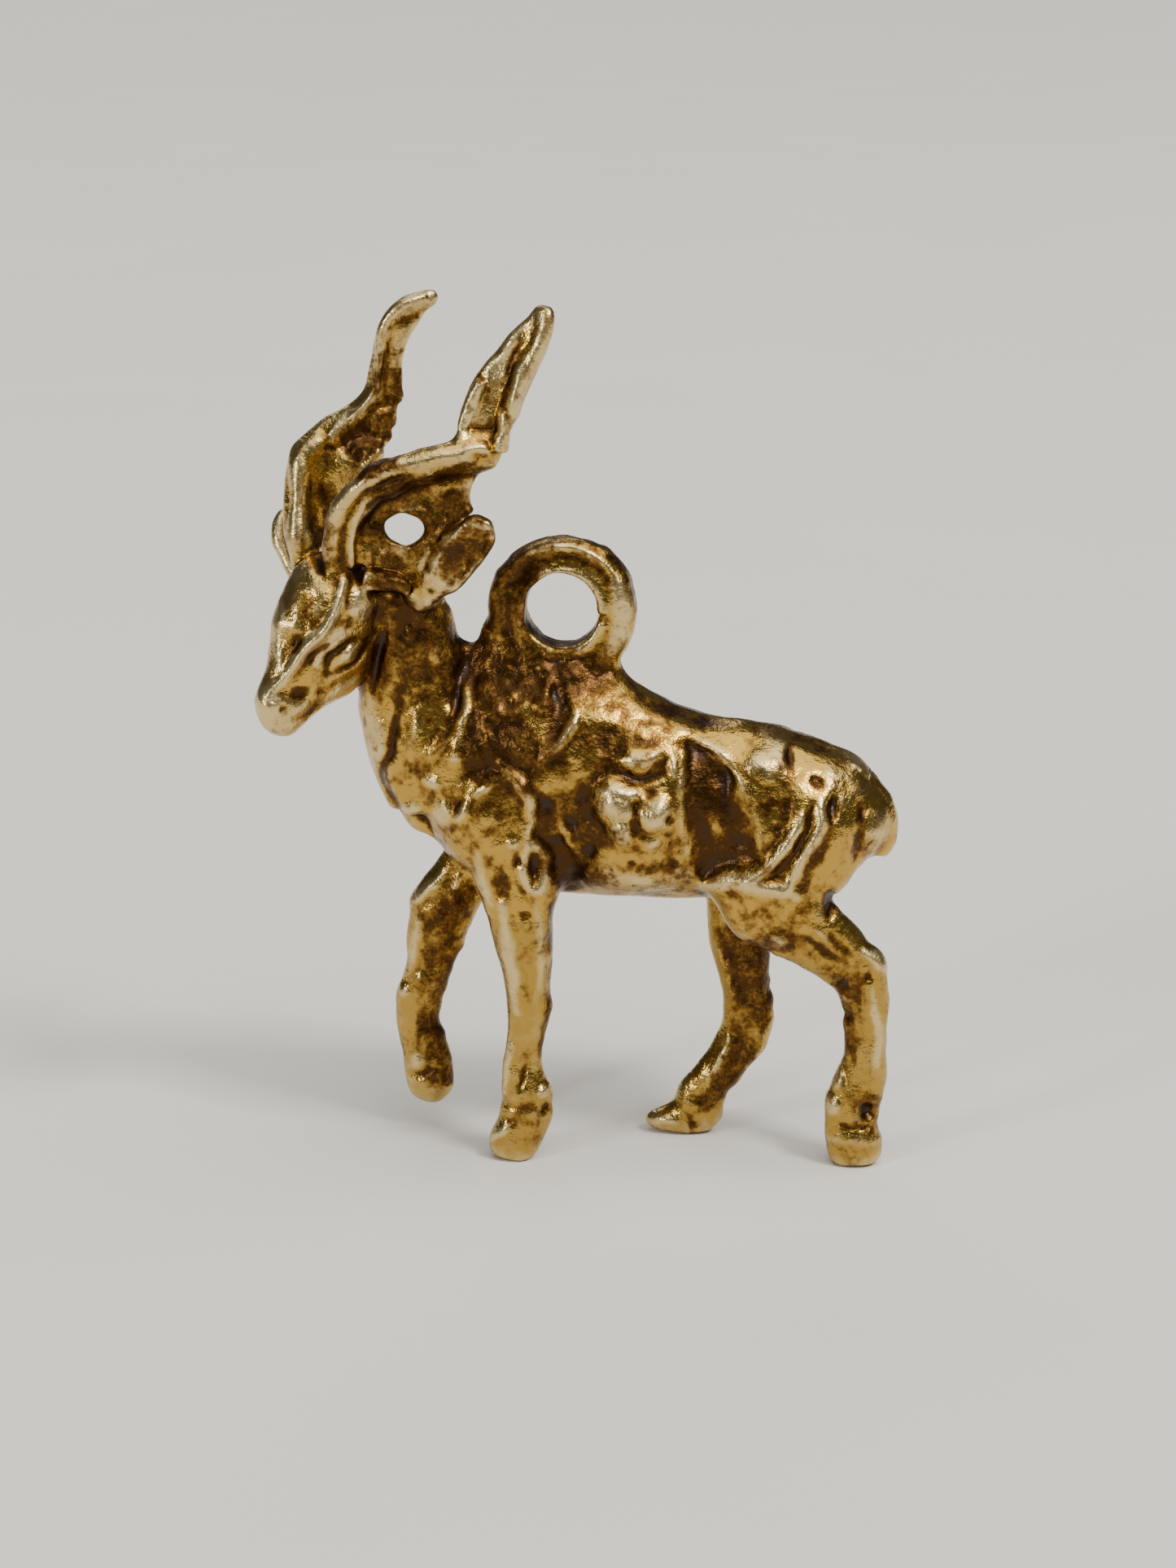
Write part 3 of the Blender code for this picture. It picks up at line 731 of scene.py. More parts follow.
@dataclass(frozen=True)
class OldGold:
    """Polished gold that tarnish has filled in the hollows and that wear has paled on the crests.

    Each (low, high) is where a soft step begins and ends: the film of tarnish, its darker shade,
    its turn from amber to rust, the black in the cracks, and the wear.
    """

    # Crests count up to here against tarnish; then what clean, unworn and polished gold start from.
    crest_cap: ClassVar[float] = 0.25
    clean: ClassVar[float] = -0.92
    unworn: ClassVar[float] = -0.45
    polish: ClassVar[float] = -0.08

    name: str
    bright: Colour = (0.50, 0.305, 0.06, 1.0)
    worn: Colour = (0.67, 0.51, 0.235, 1.0)
    amber: Colour = (0.24, 0.12, 0.018, 1.0)
    rust: Colour = (0.165, 0.07, 0.01, 1.0)
    umber: Colour = (0.06, 0.025, 0.005, 1.0)
    soot: Colour = (0.025, 0.012, 0.005, 1.0)
    tarnish: float = 0.0
    wear: float = 0.0
    roughness: float = 0.2
    film: Point2 = (0.2, 0.68)
    shade: Point2 = (1.15, 2.05)
    warmth: Point2 = (0.42, 0.62)
    black: Point2 = (0.8, 1.6)
    rubbed: Point2 = (0.0, 0.6)
    bump_strength: float = 0.55
    bump_height: float = 0.07 * MM

    def make(self) -> bpy.types.Material:
        """Makes the finish.

        Returns:
            The finish as a material.
        """
        bench = NodeBench.open(self.name)
        crest, stain, pale = (bench.layer(which) for which in Layer)
        blotch, mottle, speck, turn = (bench.grain(*kind.value) for kind in Grain)
        height = bench.sum("MINIMUM", crest, self.crest_cap)
        dirt = self.tarnish + self.clean
        dirt = bench.weighed(dirt, (height, -0.9), (stain, 0.75), (blotch, 1.3), (mottle, 1.25))
        film = bench.step(dirt, *self.film)
        shade = bench.step(bench.weighed(dirt, (speck, 1.8)), *self.shade)
        warmth = bench.step(turn, *self.warmth)
        black = bench.step(bench.weighed(-0.5, (stain, 0.38), (crest, -1.1), (speck, 0.9)), *self.black)
        wear = bench.weighed(self.wear + self.unworn, (crest, 0.55), (pale, 0.7), (mottle, 0.6))
        wear = bench.step(wear, *self.rubbed)
        stained = bench.blend(shade, bench.blend(warmth, self.amber, self.rust), self.umber)
        colour = bench.blend(film, bench.blend(wear, self.bright, self.worn), stained)
        relief = bench.weighed(mottle, (speck, 0.35))
        bump = {"Strength": self.bump_strength, "Distance": self.bump_height, "Height": relief}
        return bench.close(
            {
                "Base Color": bench.blend(black, colour, self.soot),
                "Metallic": bench.weighed(1.0, (film, -0.1), (black, -0.35)),
                "Roughness": bench.weighed(self.roughness + self.polish, (speck, 0.16), (film, 0.1), (wear, 0.1)),
                "Normal": bench.add("ShaderNodeBump", bump).outputs[0],
            }
        )


@dataclass(frozen=True)
class MattCloth:
    """The plain pale surface that the charm stands on."""

    name: str = "pale_floor"
    light: Colour = (0.84, 0.81, 0.74, 1.0)
    shade: Colour = (0.80, 0.77, 0.70, 1.0)
    clouds: float = 60.0
    roughness: float = 0.95
    gloss: float = 0.1

    def make(self) -> bpy.types.Material:
        """Makes the finish.

        Returns:
            The finish as a material.
        """
        bench = NodeBench.open(self.name)
        colour = bench.blend(bench.grain(self.clouds), self.shade, self.light)
        return bench.close({"Base Color": colour, "Roughness": self.roughness, "Specular IOR Level": self.gloss})


# ---------------------------------------------------------------- sub-assemblies


@dataclass(frozen=True)
class SubAssembly:
    """Castings that share a finish, with the wax work that belongs to them.

    pieces names each casting and the frame node that it stands for.
    """

    slot: str
    pieces: tuple[tuple[str, str], ...]
    finish: OldGold
    touches: tuple[Touch, ...] = ()
    far_touches: tuple[Touch, ...] = ()
    ridges: tuple[Ridge, ...] = ()

    def press(self, near: SideRelief, far: SideRelief) -> None:
        """Works this sub-assembly's touches into both sides.

        Args:
            near: The side that faces the camera.
            far: The other side.
        """
        for touch in self.touches:
            near.press(touch)
        for touch in self.far_touches:
            far.press(touch)


def across(touches: tuple[Touch, ...], shift: Point2, share: float) -> tuple[Touch, ...]:
    """The same work for the other side, as a hand would repeat it: a little moved, uneven and softer.

    Args:
        touches: The near side's touches.
        shift: How far they are moved, in (x, z).
        share: Their height over the near side's.

    Returns:
        The far side's touches, in the same order.
    """

    def moved(x: float, z: float) -> Point2:
        """A point's new place, with a slow sway."""
        return x + shift[0] + 0.12 * math.sin(3 * z), z + shift[1] + 0.1 * math.sin(2 * x)

    return tuple(
        replace(touch, path=tuple(moved(*point) for point in touch.path), height=touch.height * share)
        for touch in touches
    )


# The touches of each sub-assembly, in the order in which they are worked.
TRUNK_TOUCHES = (
    # The throat and the front of the neck.
    thread(((-6.25, 14.2), (-6.05, 12.9), (-5.9, 12.15), (-5.6, 11.35)), 0.48, 0.12, 0, 0.4),
    thread(((-5.25, 14.25), (-5.4, 13.25), (-5.6, 12.25), (-5.75, 11.45), (-5.15, 10.6)), 0.26, -0.16, 0.5),
    pad((-4.9, 10.55), (0.43, 0.52), 0.16, 0, 0.3),
    area(
        (
            (-4.9, 13.75), (-4.1, 14.25), (-3.6, 13.55),
            (-3.85, 12.9), (-4.55, 11.9), (-5.05, 12.35),
        ),
        0.29, 0.1, 0.32, 0.1,
    ),
    thread(((-4.1, 15.65), (-4.2, 14.7)), 0.24, 0.1),
    thread(((-3.3, 14.6), (-3.35, 13.8), (-3.7, 12.7)), 0.24, 0.16, 0, 0.2),
    thread(((-3.6, 14.75), (-3.65, 13.75), (-4, 13)), 0.17, -0.12, 0.4),
    pad((-3.65, 12.4), (0.21, 0.19), 0.12, 0, 0.4),
    pad((-4.3, 11.55), (0.38, 0.29), 0.12, 0, 0.5),
    # The tarnished side of the neck and the withers.
    area(
        (
            (-3.8, 16), (-2.5, 15.3), (-0.35, 15.35), (-0.2, 14.25),
            (-0.5, 12.35), (-1.45, 11.75), (-3.2, 12),
        ),
        0.71, -0.08, 0.8,
    ),
    area(((-5.7, 17.4), (-4.15, 16.75), (-3.55, 15.3), (-3.65, 14.2), (-5.75, 14.2), (-6.05, 15.5)), 0.48, 0, 0.55),
    area(
        (
            (-2.8, 18.1), (-1.4, 17.95), (-1.3, 15.35), (0.8, 15.35),
            (0.85, 14.35), (-1.75, 14.3), (-2.85, 15.3),
        ),
        0.38, 0, 0.6,
    ),
    pad((-2.7, 14.45), (0.38, 0.57), 0.08, 0.1),
    pad((-1.95, 14.15), (0.21, 0.19), 0.14),
    pad((-1.1, 13.95), (0.29, 0.21), 0.13),
    pad((-1.7, 13.45), (0.33, 0.29), -0.1, 0.5),
    pad((-2.4, 13.2), (0.31, 0.52), -0.1, 0.4),
    pad((-1.55, 12.7), (0.38, 0.24), 0.08, 0.2),
    thread(((-0.4, 14.4), (-0.1, 13.75), (-0.3, 13.35), (-0.75, 12.8), (-1.2, 12.35)), 0.21, 0.17, 0, 0.3),
    thread(((-0.8, 14.3), (-0.6, 13.7), (-0.95, 13.05)), 0.29, -0.1, 0.3),
    area(((-0.35, 14.6), (1.05, 14.2), (3.65, 13.15), (3.2, 12.3), (0.55, 12.35)), 0.62, 0.03, 0.27),
    area(((0.5, 13.35), (1.35, 13.3), (1.35, 12.25), (0.7, 12.25)), 0.24, -0.04, 0.5),
    # The shoulder and the top of the foreleg.
    pad((-3.95, 10.75), (0.43, 0.57), 0.17, 0, 0.6),
    thread(((-3.2, 11.3), (-3.4, 10.85), (-3.55, 10.55)), 0.17, 0.13, 0, 0.4),
    thread(((-3, 11.45), (-2.5, 11.9), (-1.9, 11.95), (-1.5, 11.5), (-1.4, 10.75), (-1.55, 10.05)), 0.29, 0.18, 0, 0.2),
    pad((-2.45, 10.6), (0.76, 0.81), -0.13, 0.2),
    pad((-2.6, 10.7), (0.33, 0.38), 0.08),
    pad((-1.9, 10), (0.29, 0.24), 0.14),
    pad((-1.8, 9.5), (0.19, 0.17), -0.16, 0.8),
    thread(
        (
            (-1.3, 10), (-0.95, 9.6), (-0.9, 9.1), (-1.1, 8.6),
            (-1.45, 8.65), (-1.65, 9.25), (-1.55, 9.75), (-1.3, 10),
        ),
        0.21, 0.15, 0, 0.3,
    ),
    pad((-1.3, 9.3), (0.21, 0.48), -0.17, 0.5),
    pad((-2.3, 8.7), (0.36, 0.6), -0.12, 0.4),
    thread(((-3, 9.65), (-2.9, 8.8), (-2.65, 8.05)), 0.29, 0.1, 0, 0.4),
    # The dark hollow behind the shoulder, and the belly.
    area(((-1.35, 11.5), (0.4, 11.75), (0.8, 10), (-0.2, 8.4), (-0.95, 9.35)), 0.81, -0.2, 0.42),
    area(((-0.3, 9.3), (3.15, 9.4), (3.25, 8.9), (2.05, 8.6), (-0.35, 8.35)), 0.29, 0, 0.35),
    pad((-0.85, 11.1), (0.26, 0.21), -0.14, 0.3),
    pad((-0.25, 10.6), (0.29, 0.33), -0.16, 0.3),
    pad((-0.65, 10), (0.21, 0.26), -0.12, 0.2),
    pad((0.25, 9.7), (0.26, 0.29), -0.13, 0.3),
    pad((0.1, 11.3), (0.21, 0.19), -0.1, 0.2),
    thread(((-0.5, 10.9), (-0.45, 10.15), (-0.15, 9.5)), 0.14, 0.08),
    # The ribs, as round lumps.
    pad((1.05, 11.2), (1, 0.95), 0.46, 0, 0.4),
    pad((1.25, 10.35), (0.62, 0.48), 0.26),
    pad((2.25, 10.95), (0.71, 0.67), 0.38, 0, 0.3),
    pad((2.1, 10.15), (0.48, 0.36), 0.18),
    thread(((1.6, 11.55), (1.65, 10.95), (1.55, 10.2)), 0.19, -0.1, 0.3),
    thread(((0.55, 11.55), (1, 11.75), (1.6, 11.6), (2.05, 11.35)), 0.19, 0.1),
    pad((1.8, 12.55), (0.81, 0.43), 0.24, 0, 0.2),
    thread(((1.25, 12.1), (1.8, 11.95), (2.5, 12)), 0.17, -0.16, 0.4),
    thread(((2.55, 12.65), (2.75, 11.9)), 0.17, 0.12, 0, 0.2),
    thread(((0.3, 8.9), (1.15, 8.9), (2.05, 8.85), (3.15, 9.1)), 0.67, 0.12, 0, 0.4),
    pad((1.5, 9.5), (0.14, 0.12), -0.08, 0.9),
    pad((2.65, 9.45), (0.12, 0.12), -0.08, 0.9),
    pad((2.9, 9.25), (0.12, 0.12), 0.08, 0, 0.4),
    pad((2.65, 10.8), (0.14, 0.19), -0.1, 0.8),
    # The sunk flank.
    area(
        (
            (3.1, 12.75), (3.7, 12.55), (4.3, 12.25), (4.6, 11.45), (4.85, 10.6),
            (5.1, 9.65), (4.4, 9.2), (3.65, 8.95), (3.3, 9.4), (3.15, 10.95),
        ),
        0.81, -0.27, 0.4,
    ),
    pad((4.25, 11.3), (0.33, 1.19), -0.06, 0.3),
    pad((4.25, 11.85), (0.33, 0.48), -0.08, 0.2),
    pad((4.55, 10.2), (0.43, 0.38), -0.08, 0.2),
    pad((3.6, 10.25), (0.24, 0.57), -0.08, 0.3),
    pad((3.95, 10.7), (0.38, 0.71), 0.06),
    thread(((3.1, 12.85), (3.65, 12.7), (4.25, 12.4), (4.65, 11.75)), 0.19, 0.12, 0, 0.3),
    thread(((2.95, 12.7), (3, 10.95), (3.1, 9.6)), 0.17, 0.09, 0, 0.2),
    # The rump and the folds of the haunch.
    pad((5.45, 12.4), (0.81, 0.76), 0.24, 0, 0.3),
    pad((5.7, 11.45), (0.52, 0.48), -0.05, 0.1),
    thread(((3.55, 8.65), (4.45, 8.9), (5.5, 8.8), (6.2, 8.55)), 0.48, 0.16, 0, 0.5),
    thread(((6.4, 11), (6.1, 10.3), (5.6, 9.55), (4.85, 9)), 0.26, 0.17, 0, 0.3),
    thread(((6.7, 11.3), (6.5, 10.3), (6.05, 9.55), (5.55, 9)), 0.24, -0.09, 0.3),
    thread(((6.85, 11.3), (6.9, 10.55), (6.55, 9.8), (6.2, 9.05), (5.95, 8.65)), 0.24, 0.17, 0, 0.3),
    thread(((7.2, 10.85), (7.15, 10.15), (6.8, 9.45), (6.45, 8.7)), 0.24, -0.07, 0.25),
    area(((5.2, 11.3), (6.1, 11.35), (5.95, 10.3), (5.35, 9.8)), 0.24, -0.05, 0.4),
    pad((6, 12.45), (0.14, 0.38), -0.16, 0.8),
    pad((6.75, 11.85), (0.33, 0.17), -0.1, 0.8, 0, -35),
    pad((7.25, 11.1), (0.21, 0.48), -0.2, 1),
    pad((5.7, 10.6), (0.17, 0.17), -0.1, 0.7),
    pad((8.35, 9.15), (0.17, 0.14), -0.1, 0.7),
    pad((7.85, 11.95), (1.07, 1.14), 0.1, 0, 0.3),
    pad((8.65, 10.2), (0.52, 0.86), 0.08, 0, 0.3),
    thread(((8.05, 11.15), (8.1, 10.35), (7.9, 9.4)), 0.24, -0.08, 0.3),
    # The line along the back.
    thread(((1.2, 14.25), (2, 13.75), (3.2, 13.3), (4, 13.2)), 0.11, -0.08, 0.3),
    thread(((4.95, 13.1), (5.9, 12.95), (6.75, 12.6), (7.45, 12.15)), 0.11, -0.07, 0.25),
    # The thigh's lower folds.
    pad((7.2, 8.25), (0.24, 0.52), -0.22, 0.9),
    pad((5.8, 7.15), (0.21, 0.21), 0.18, 0, 0.9),
    thread(((5.8, 7.5), (6.1, 7.35), (6.1, 6.95), (5.8, 6.7), (5.5, 6.85), (5.5, 7.3), (5.8, 7.5)), 0.1, -0.05, 0.4),
    thread(((6.55, 7.35), (7.05, 6.85), (7.75, 6.4)), 0.14, -0.13, 0.5),
    thread(((7.1, 7.35), (7.5, 7), (8.1, 6.55)), 0.14, -0.12, 0.5),
    thread(((6.8, 7.6), (7.25, 7.15), (7.95, 6.7)), 0.14, 0.1, 0, 0.4),
)
HEAD_TOUCHES = (
    # The brow, the nose and the forehead.
    thread(
        (
            (-6.75, 17.65), (-6.95, 17.05), (-7.25, 16.4),
            (-7.75, 15.8), (-8.2, 15.2), (-8.7, 14.65),
        ),
        0.24, 0.26, 0, 1,
    ),
    thread(((-6.55, 16.6), (-7.1, 15.95), (-7.7, 15.4), (-8.05, 15)), 0.12, -0.1, 0.5),
    pad((-8.85, 14.3), (0.38, 0.48), 0.12, 0, 1),
    pad((-6.15, 17.05), (0.52, 0.57), 0.13, 0, 0.8),
    thread(((-6.7, 16.45), (-7.1, 15.95), (-7.5, 15.3)), 0.29, 0.1, 0, 0.9),
    # The eye.
    thread(((-7.3, 15), (-7.05, 15.6), (-6.55, 16), (-6.1, 15.95)), 0.12, -0.16, 0.9),
    thread(((-7.3, 15), (-6.75, 15.1), (-6.3, 15.5), (-6.1, 15.95)), 0.12, -0.15, 0.9),
    pad((-6.6, 15.55), (0.21, 0.31), 0.17, 0, 0.9, -25),
    # The cheek, the nostril and the mouth.
    pad((-6.7, 14.35), (0.76, 0.43), 0.13, 0, 0.9, 20),
    pad((-7.95, 14.55), (0.33, 0.29), -0.13, 1),
    pad((-7.45, 14.55), (0.12, 0.1), -0.1, 0.8),
    pad((-8.5, 14.2), (0.1, 0.1), -0.08, 0.8),
    thread(((-8.4, 13.7), (-7.85, 13.85), (-7.35, 14.2)), 0.12, -0.08, 0.3, 0.3),
    # Behind the jaw.
    thread(((-5.6, 16.3), (-5.75, 15.55), (-5.95, 14.9), (-6.15, 14.15)), 0.17, -0.15, 0.6),
    pad((-4.95, 16), (0.52, 0.48), -0.14, 0.7),
    pad((-4.95, 16), (0.19, 0.31), 0.2, 0, 0.4),
    pad((-5.45, 17.2), (0.21, 0.19), 0.12, 0, 0.2),
    pad((-4.8, 17.2), (0.21, 0.19), 0.12, 0, 0.2),
    pad((-4.2, 17.35), (0.14, 0.14), -0.12, 0.8),
    # The forehead's side.
    pad((-7.75, 16.95), (0.43, 0.57), -0.06, 0.5),
    pad((-7.95, 16), (0.24, 0.38), -0.05, 0.5),
    thread(((-8.55, 17.05), (-8.55, 16.2), (-8.5, 15.2)), 0.17, 0.08, 0, 0.8),
    # The near ear's rim and hollow.
    thread(
        (
            (-4.55, 18), (-4.2, 18.7), (-3.85, 19.2), (-3.4, 19.55), (-3.05, 19.7), (-2.55, 19.55),
            (-2.45, 19), (-2.8, 18.4), (-3.25, 17.8), (-4.05, 16.75), (-4.35, 16.95),
        ),
        0.17, 0.15, 0, 0.7,
    ),
    pad((-3.15, 18.55), (0.71, 1.24), -0.18, 1.3, 0, -42),
    thread(((-4.35, 17.75), (-3.95, 18.35), (-3.55, 19), (-3.2, 19.5), (-2.75, 19.7)), 0.14, 0.1, 0, 1),
    thread(((-2.45, 19.35), (-2.55, 18.85), (-2.9, 18.2), (-3.35, 17.75)), 0.12, 0.07, 0, 0.8),
    pad((-4.25, 18.05), (0.14, 0.21), -0.06, 0.6),
    # The near horn's web.
    area(
        (
            (-5.9, 20.3), (-5.25, 20.7), (-3.9, 20.8), (-2.65, 20.85), (-2.6, 19.6),
            (-3.5, 19.4), (-4.4, 18.45), (-4.85, 17.4), (-5.95, 17.45),
        ),
        0.24, -0.05, 0.85,
    ),
    pad((-5.15, 18.35), (0.36, 0.29), -0.08, 1),
    thread(
        (
            (-5.6, 19.05), (-5.35, 19.4), (-4.9, 19.6), (-4.35, 19.55), (-4.2, 19.15),
            (-4.4, 18.75), (-4.9, 18.55), (-5.35, 18.65), (-5.6, 19.05),
        ),
        0.14, 0.08, 0.5,
    ),
    thread(((-5.6, 19.4), (-5.5, 18.7), (-5.4, 18)), 0.14, 0.06, 0.3),
)
LEG_TOUCHES = (
    # Tarnish along the legs.
    area(
        (
            (-5, 6.95), (-3.85, 7.65), (-3.35, 7.5), (-3.85, 5.3), (-4.15, 3.35),
            (-3.9, 1.55), (-4.65, 1.55), (-5.05, 2.55), (-4.85, 4.9),
        ),
        0.38, 0, 0.8,
    ),
    area(
        (
            (3.95, 6.4), (5.6, 7.45), (5.7, 3.9), (5.05, 2.45),
            (4.1, 1.15), (3.4, 0.75), (4.35, 2.75), (4.55, 4.3),
        ),
        0.33, 0, 0.8,
    ),
    thread(((-0.7, 8.25), (-0.7, 6.45), (-0.9, 4.7), (-1.2, 3.4)), 0.24, -0.03, 0.75),
    area(((5.4, 8.1), (6.8, 8.1), (8.25, 6.8), (8, 6.15), (5.85, 6.7), (4.45, 7.25)), 0.43, 0, 0.3),
    area(((7.25, 6.25), (8.3, 6.1), (8.1, 3.4), (7.7, 2.5), (7.5, 4.45)), 0.24, 0, 0.5),
    area(((7.85, 2.4), (8.75, 2.4), (8.85, 1.15), (8, 1.3)), 0.24, 0, 0.5),
    # The far foreleg.
    thread(((-4.2, 8.25), (-4.7, 7.7), (-5.2, 7.1)), 0.21, 0.15, 0, 0.5),
    thread(((-3.65, 8.15), (-3.95, 7.65), (-3.9, 7.1)), 0.12, 0.14, 0, 0.3),
    pad((-3.4, 7.75), (0.24, 0.43), -0.08, 0.5),
    thread(((-5, 6.95), (-5.2, 5.9), (-5.35, 4.85)), 0.19, 0.1, 0, 0.4),
    thread(((-4.05, 6.5), (-4.15, 4.85), (-4.5, 3.3)), 0.24, -0.06, 0.5),
    pad((-5.4, 4.4), (0.19, 0.19), 0.12, 0, 0.3),
    pad((-4.95, 4.9), (0.19, 0.14), 0.08, 0, 0.2),
    pad((-4.85, 3.3), (0.24, 0.19), -0.08, 0.5),
    pad((-5.05, 2.3), (0.29, 0.38), 0.06, 0, 0.3),
    thread(((-5.4, 1.9), (-4.9, 1.85), (-4.25, 2.1)), 0.14, -0.1, 0.6),
    # The near foreleg.
    thread(((-2.35, 8.15), (-2.1, 6.6), (-1.85, 4.75)), 0.33, 0.1, 0, 0.5),
    thread(((-0.8, 8.05), (-0.8, 6.75), (-0.95, 5)), 0.19, -0.1, 0.7),
    pad((-1.65, 7.8), (0.33, 0.14), -0.08, 0.4),
    thread(((-1.25, 8.15), (-1.15, 6.6), (-1.4, 4.8)), 0.21, 0.06, 0, 0.2),
    thread(((-2.1, 3.65), (-2.2, 2.9), (-2.25, 2.15)), 0.17, 0.1, 0, 0.5),
    thread(((-1.6, 3.25), (-1.65, 2.75), (-1.7, 2.3)), 0.14, -0.14, 0.7),
    pad((-1.1, 2.2), (0.24, 0.29), 0.12, 0, 0.4),
    pad((-1, 1.65), (0.17, 0.24), -0.1, 0.8),
    pad((-2, 1.3), (0.29, 0.21), -0.06, 0.7),
    pad((-1.55, 1.2), (0.21, 0.17), -0.06, 0.6),
    thread(((-2.8, 0.55), (-2.45, 0.95), (-2.1, 1.2)), 0.14, 0.1, 0, 0.8),
    thread(((-2.5, 1.9), (-1.75, 1.7), (-1.2, 1.8)), 0.14, -0.08, 0.5),
    # The near hind leg.
    thread(((8.3, 6.75), (8.75, 6.4), (9, 6.1)), 0.24, 0.12, 0, 0.6),
    pad((8.4, 5.95), (0.17, 0.17), -0.14, 0.8),
    pad((7.6, 5.6), (0.21, 0.29), -0.2, 0.9),
    pad((7.75, 5.2), (0.14, 0.12), 0.12, 0, 0.5),
    pad((7.9, 4.65), (0.17, 0.24), -0.08, 0.8),
    pad((8.05, 3.55), (0.14, 0.33), -0.08, 0.8),
    thread(((7.65, 3.35), (7.6, 2.8), (7.5, 2.45)), 0.14, 0.1, 0, 0.4),
    thread(((8.55, 5.6), (8.65, 4.45), (8.75, 3.15)), 0.21, 0.08, 0, 0.5),
    pad((7.4, 1.9), (0.29, 0.33), 0.12, 0, 0.4),
    pad((8.4, 1.8), (0.29, 0.36), -0.26, 1),
    thread(((7.35, 0.95), (8.1, 0.85), (8.9, 0.8)), 0.29, 0.06, 0, 0.1),
    thread(((7.5, 1.4), (8.1, 1.3), (8.7, 1.3)), 0.12, -0.1, 0.6),
    # The far hind leg.
    thread(((4.05, 6.05), (4.55, 5.1), (4.8, 4.3)), 0.24, -0.08, 0.7),
    thread(((5.5, 6.7), (5.55, 5), (5.6, 4.4)), 0.21, -0.12, 0.6),
    pad((5.75, 4.85), (0.19, 0.19), 0.12, 0, 0.3),
    thread(((4.45, 3.2), (4.1, 2.45), (3.75, 1.65)), 0.12, 0.13, 0, 0.4),
    thread(((4.8, 3.3), (4.6, 2.5), (4.3, 1.85)), 0.19, -0.08, 0.4),
    pad((4.35, 1.35), (0.19, 0.17), -0.16, 0.9),
    pad((3.55, 1.2), (0.48, 0.21), -0.08, 0.7),
    thread(((2, 0.4), (2.4, 0.55), (2.75, 0.55)), 0.14, 0.1, 0, 0.6),
    pad((3.4, 0.45), (0.24, 0.14), -0.08, 0.5),
    thread(((3.15, 0.85), (3.25, 0.45), (3.3, 0.05)), 0.1, -0.1, 0.6),
)
HORN_TOUCHES = (
    # The near horn.
    thread(((-6.85, 18.1), (-6.7, 19.1), (-6.45, 19.65), (-6, 20.25), (-5.2, 20.65), (-4.35, 20.75)), 0.12, -0.1, 0.7),
    thread(((-6.1, 18.2), (-6.05, 19.1), (-5.8, 19.65), (-5.35, 20.2), (-4.85, 20.4)), 0.19, -0.05, 1),
    thread(((-4.8, 20.5), (-3.9, 20.7), (-3.05, 20.65)), 0.21, -0.08, 0.6),
    pad((-2.85, 21.35), (0.17, 0.17), -0.12, 0.8),
    thread(((-3.1, 21.55), (-2.9, 21.7), (-2.65, 21.6), (-2.55, 21.35)), 0.14, 0.08, 0, 0.4),
    thread(((-1.65, 24.55), (-1.9, 23.95), (-2, 23.35), (-2.05, 22.7), (-1.95, 22.2), (-2.1, 21.55)), 0.14, -0.12, 0.9),
    area(
        (
            (-3.35, 21.9), (-3.15, 22.65), (-2.8, 23.35), (-2.4, 23.9),
            (-2, 24.25), (-2.15, 23.35), (-2.2, 21.9),
        ),
        0.19, -0.05, 0, 0.5,
    ),
    pad((-3.1, 22.65), (0.1, 0.1), -0.1, 1),
    pad((-2.8, 23.4), (0.1, 0.12), -0.1, 1),
    pad((-3.2, 22.25), (0.1, 0.1), -0.08, 1),
    pad((-2.6, 23.2), (0.1, 0.1), -0.08, 0.8),
    pad((-2.5, 22.25), (0.1, 0.1), -0.08, 0.8),
    thread(((-1.65, 24.95), (-1.95, 24.5), (-2.15, 24)), 0.17, 0.08, 0, 0.6),
    thread(((-3.6, 21.95), (-2.8, 22.05), (-2, 21.9)), 0.14, -0.08, 0.4),
    thread(((-1.65, 24.05), (-1.7, 23.15), (-1.85, 21.95)), 0.17, 0.08, 0.2, 0.3),
    # The far horn.
    thread(((-7.9, 20.2), (-7.8, 19.05), (-7.45, 17.95)), 0.19, -0.14, 0.5),
    area(((-7.7, 19.95), (-7.1, 19.9), (-6.9, 17.9), (-7.45, 17.9)), 0.24, -0.06, 0.8),
    pad((-7.45, 21.2), (0.33, 0.43), -0.08, 0.5),
    thread(((-5.9, 23.9), (-6, 22.6), (-6.45, 22.2), (-6.95, 21.9), (-7.35, 21.35)), 0.11, 0.1, 0, 0.8),
    thread(((-5.65, 24.1), (-5.7, 22.9), (-5.65, 21.75), (-5.8, 20.85)), 0.19, -0.1, 0.8),
    thread(((-5.3, 23.85), (-5.35, 22.9), (-5.2, 21.95), (-5.4, 21.25), (-5.65, 20.65)), 0.17, 0.1, 0.2, 0.2),
    area(((-6.5, 21.85), (-6, 21.85), (-6, 21.05), (-6.5, 20.9)), 0.19, -0.06, 0.8),
    thread(((-7.1, 21.5), (-6.85, 21.1), (-6.75, 20.85)), 0.17, -0.12, 0.6),
    area(
        (
            (-5.95, 23.6), (-5.05, 23.9), (-5.15, 22.25), (-5.1, 21.1),
            (-5.8, 20.9), (-6.6, 20.6), (-6.9, 21.5), (-6.25, 22.05),
        ),
        0.19, -0.03, 0.9,
    ),
    thread(((-5.6, 24.5), (-5.15, 24.75), (-4.6, 25)), 0.14, -0.1, 0.7),
)


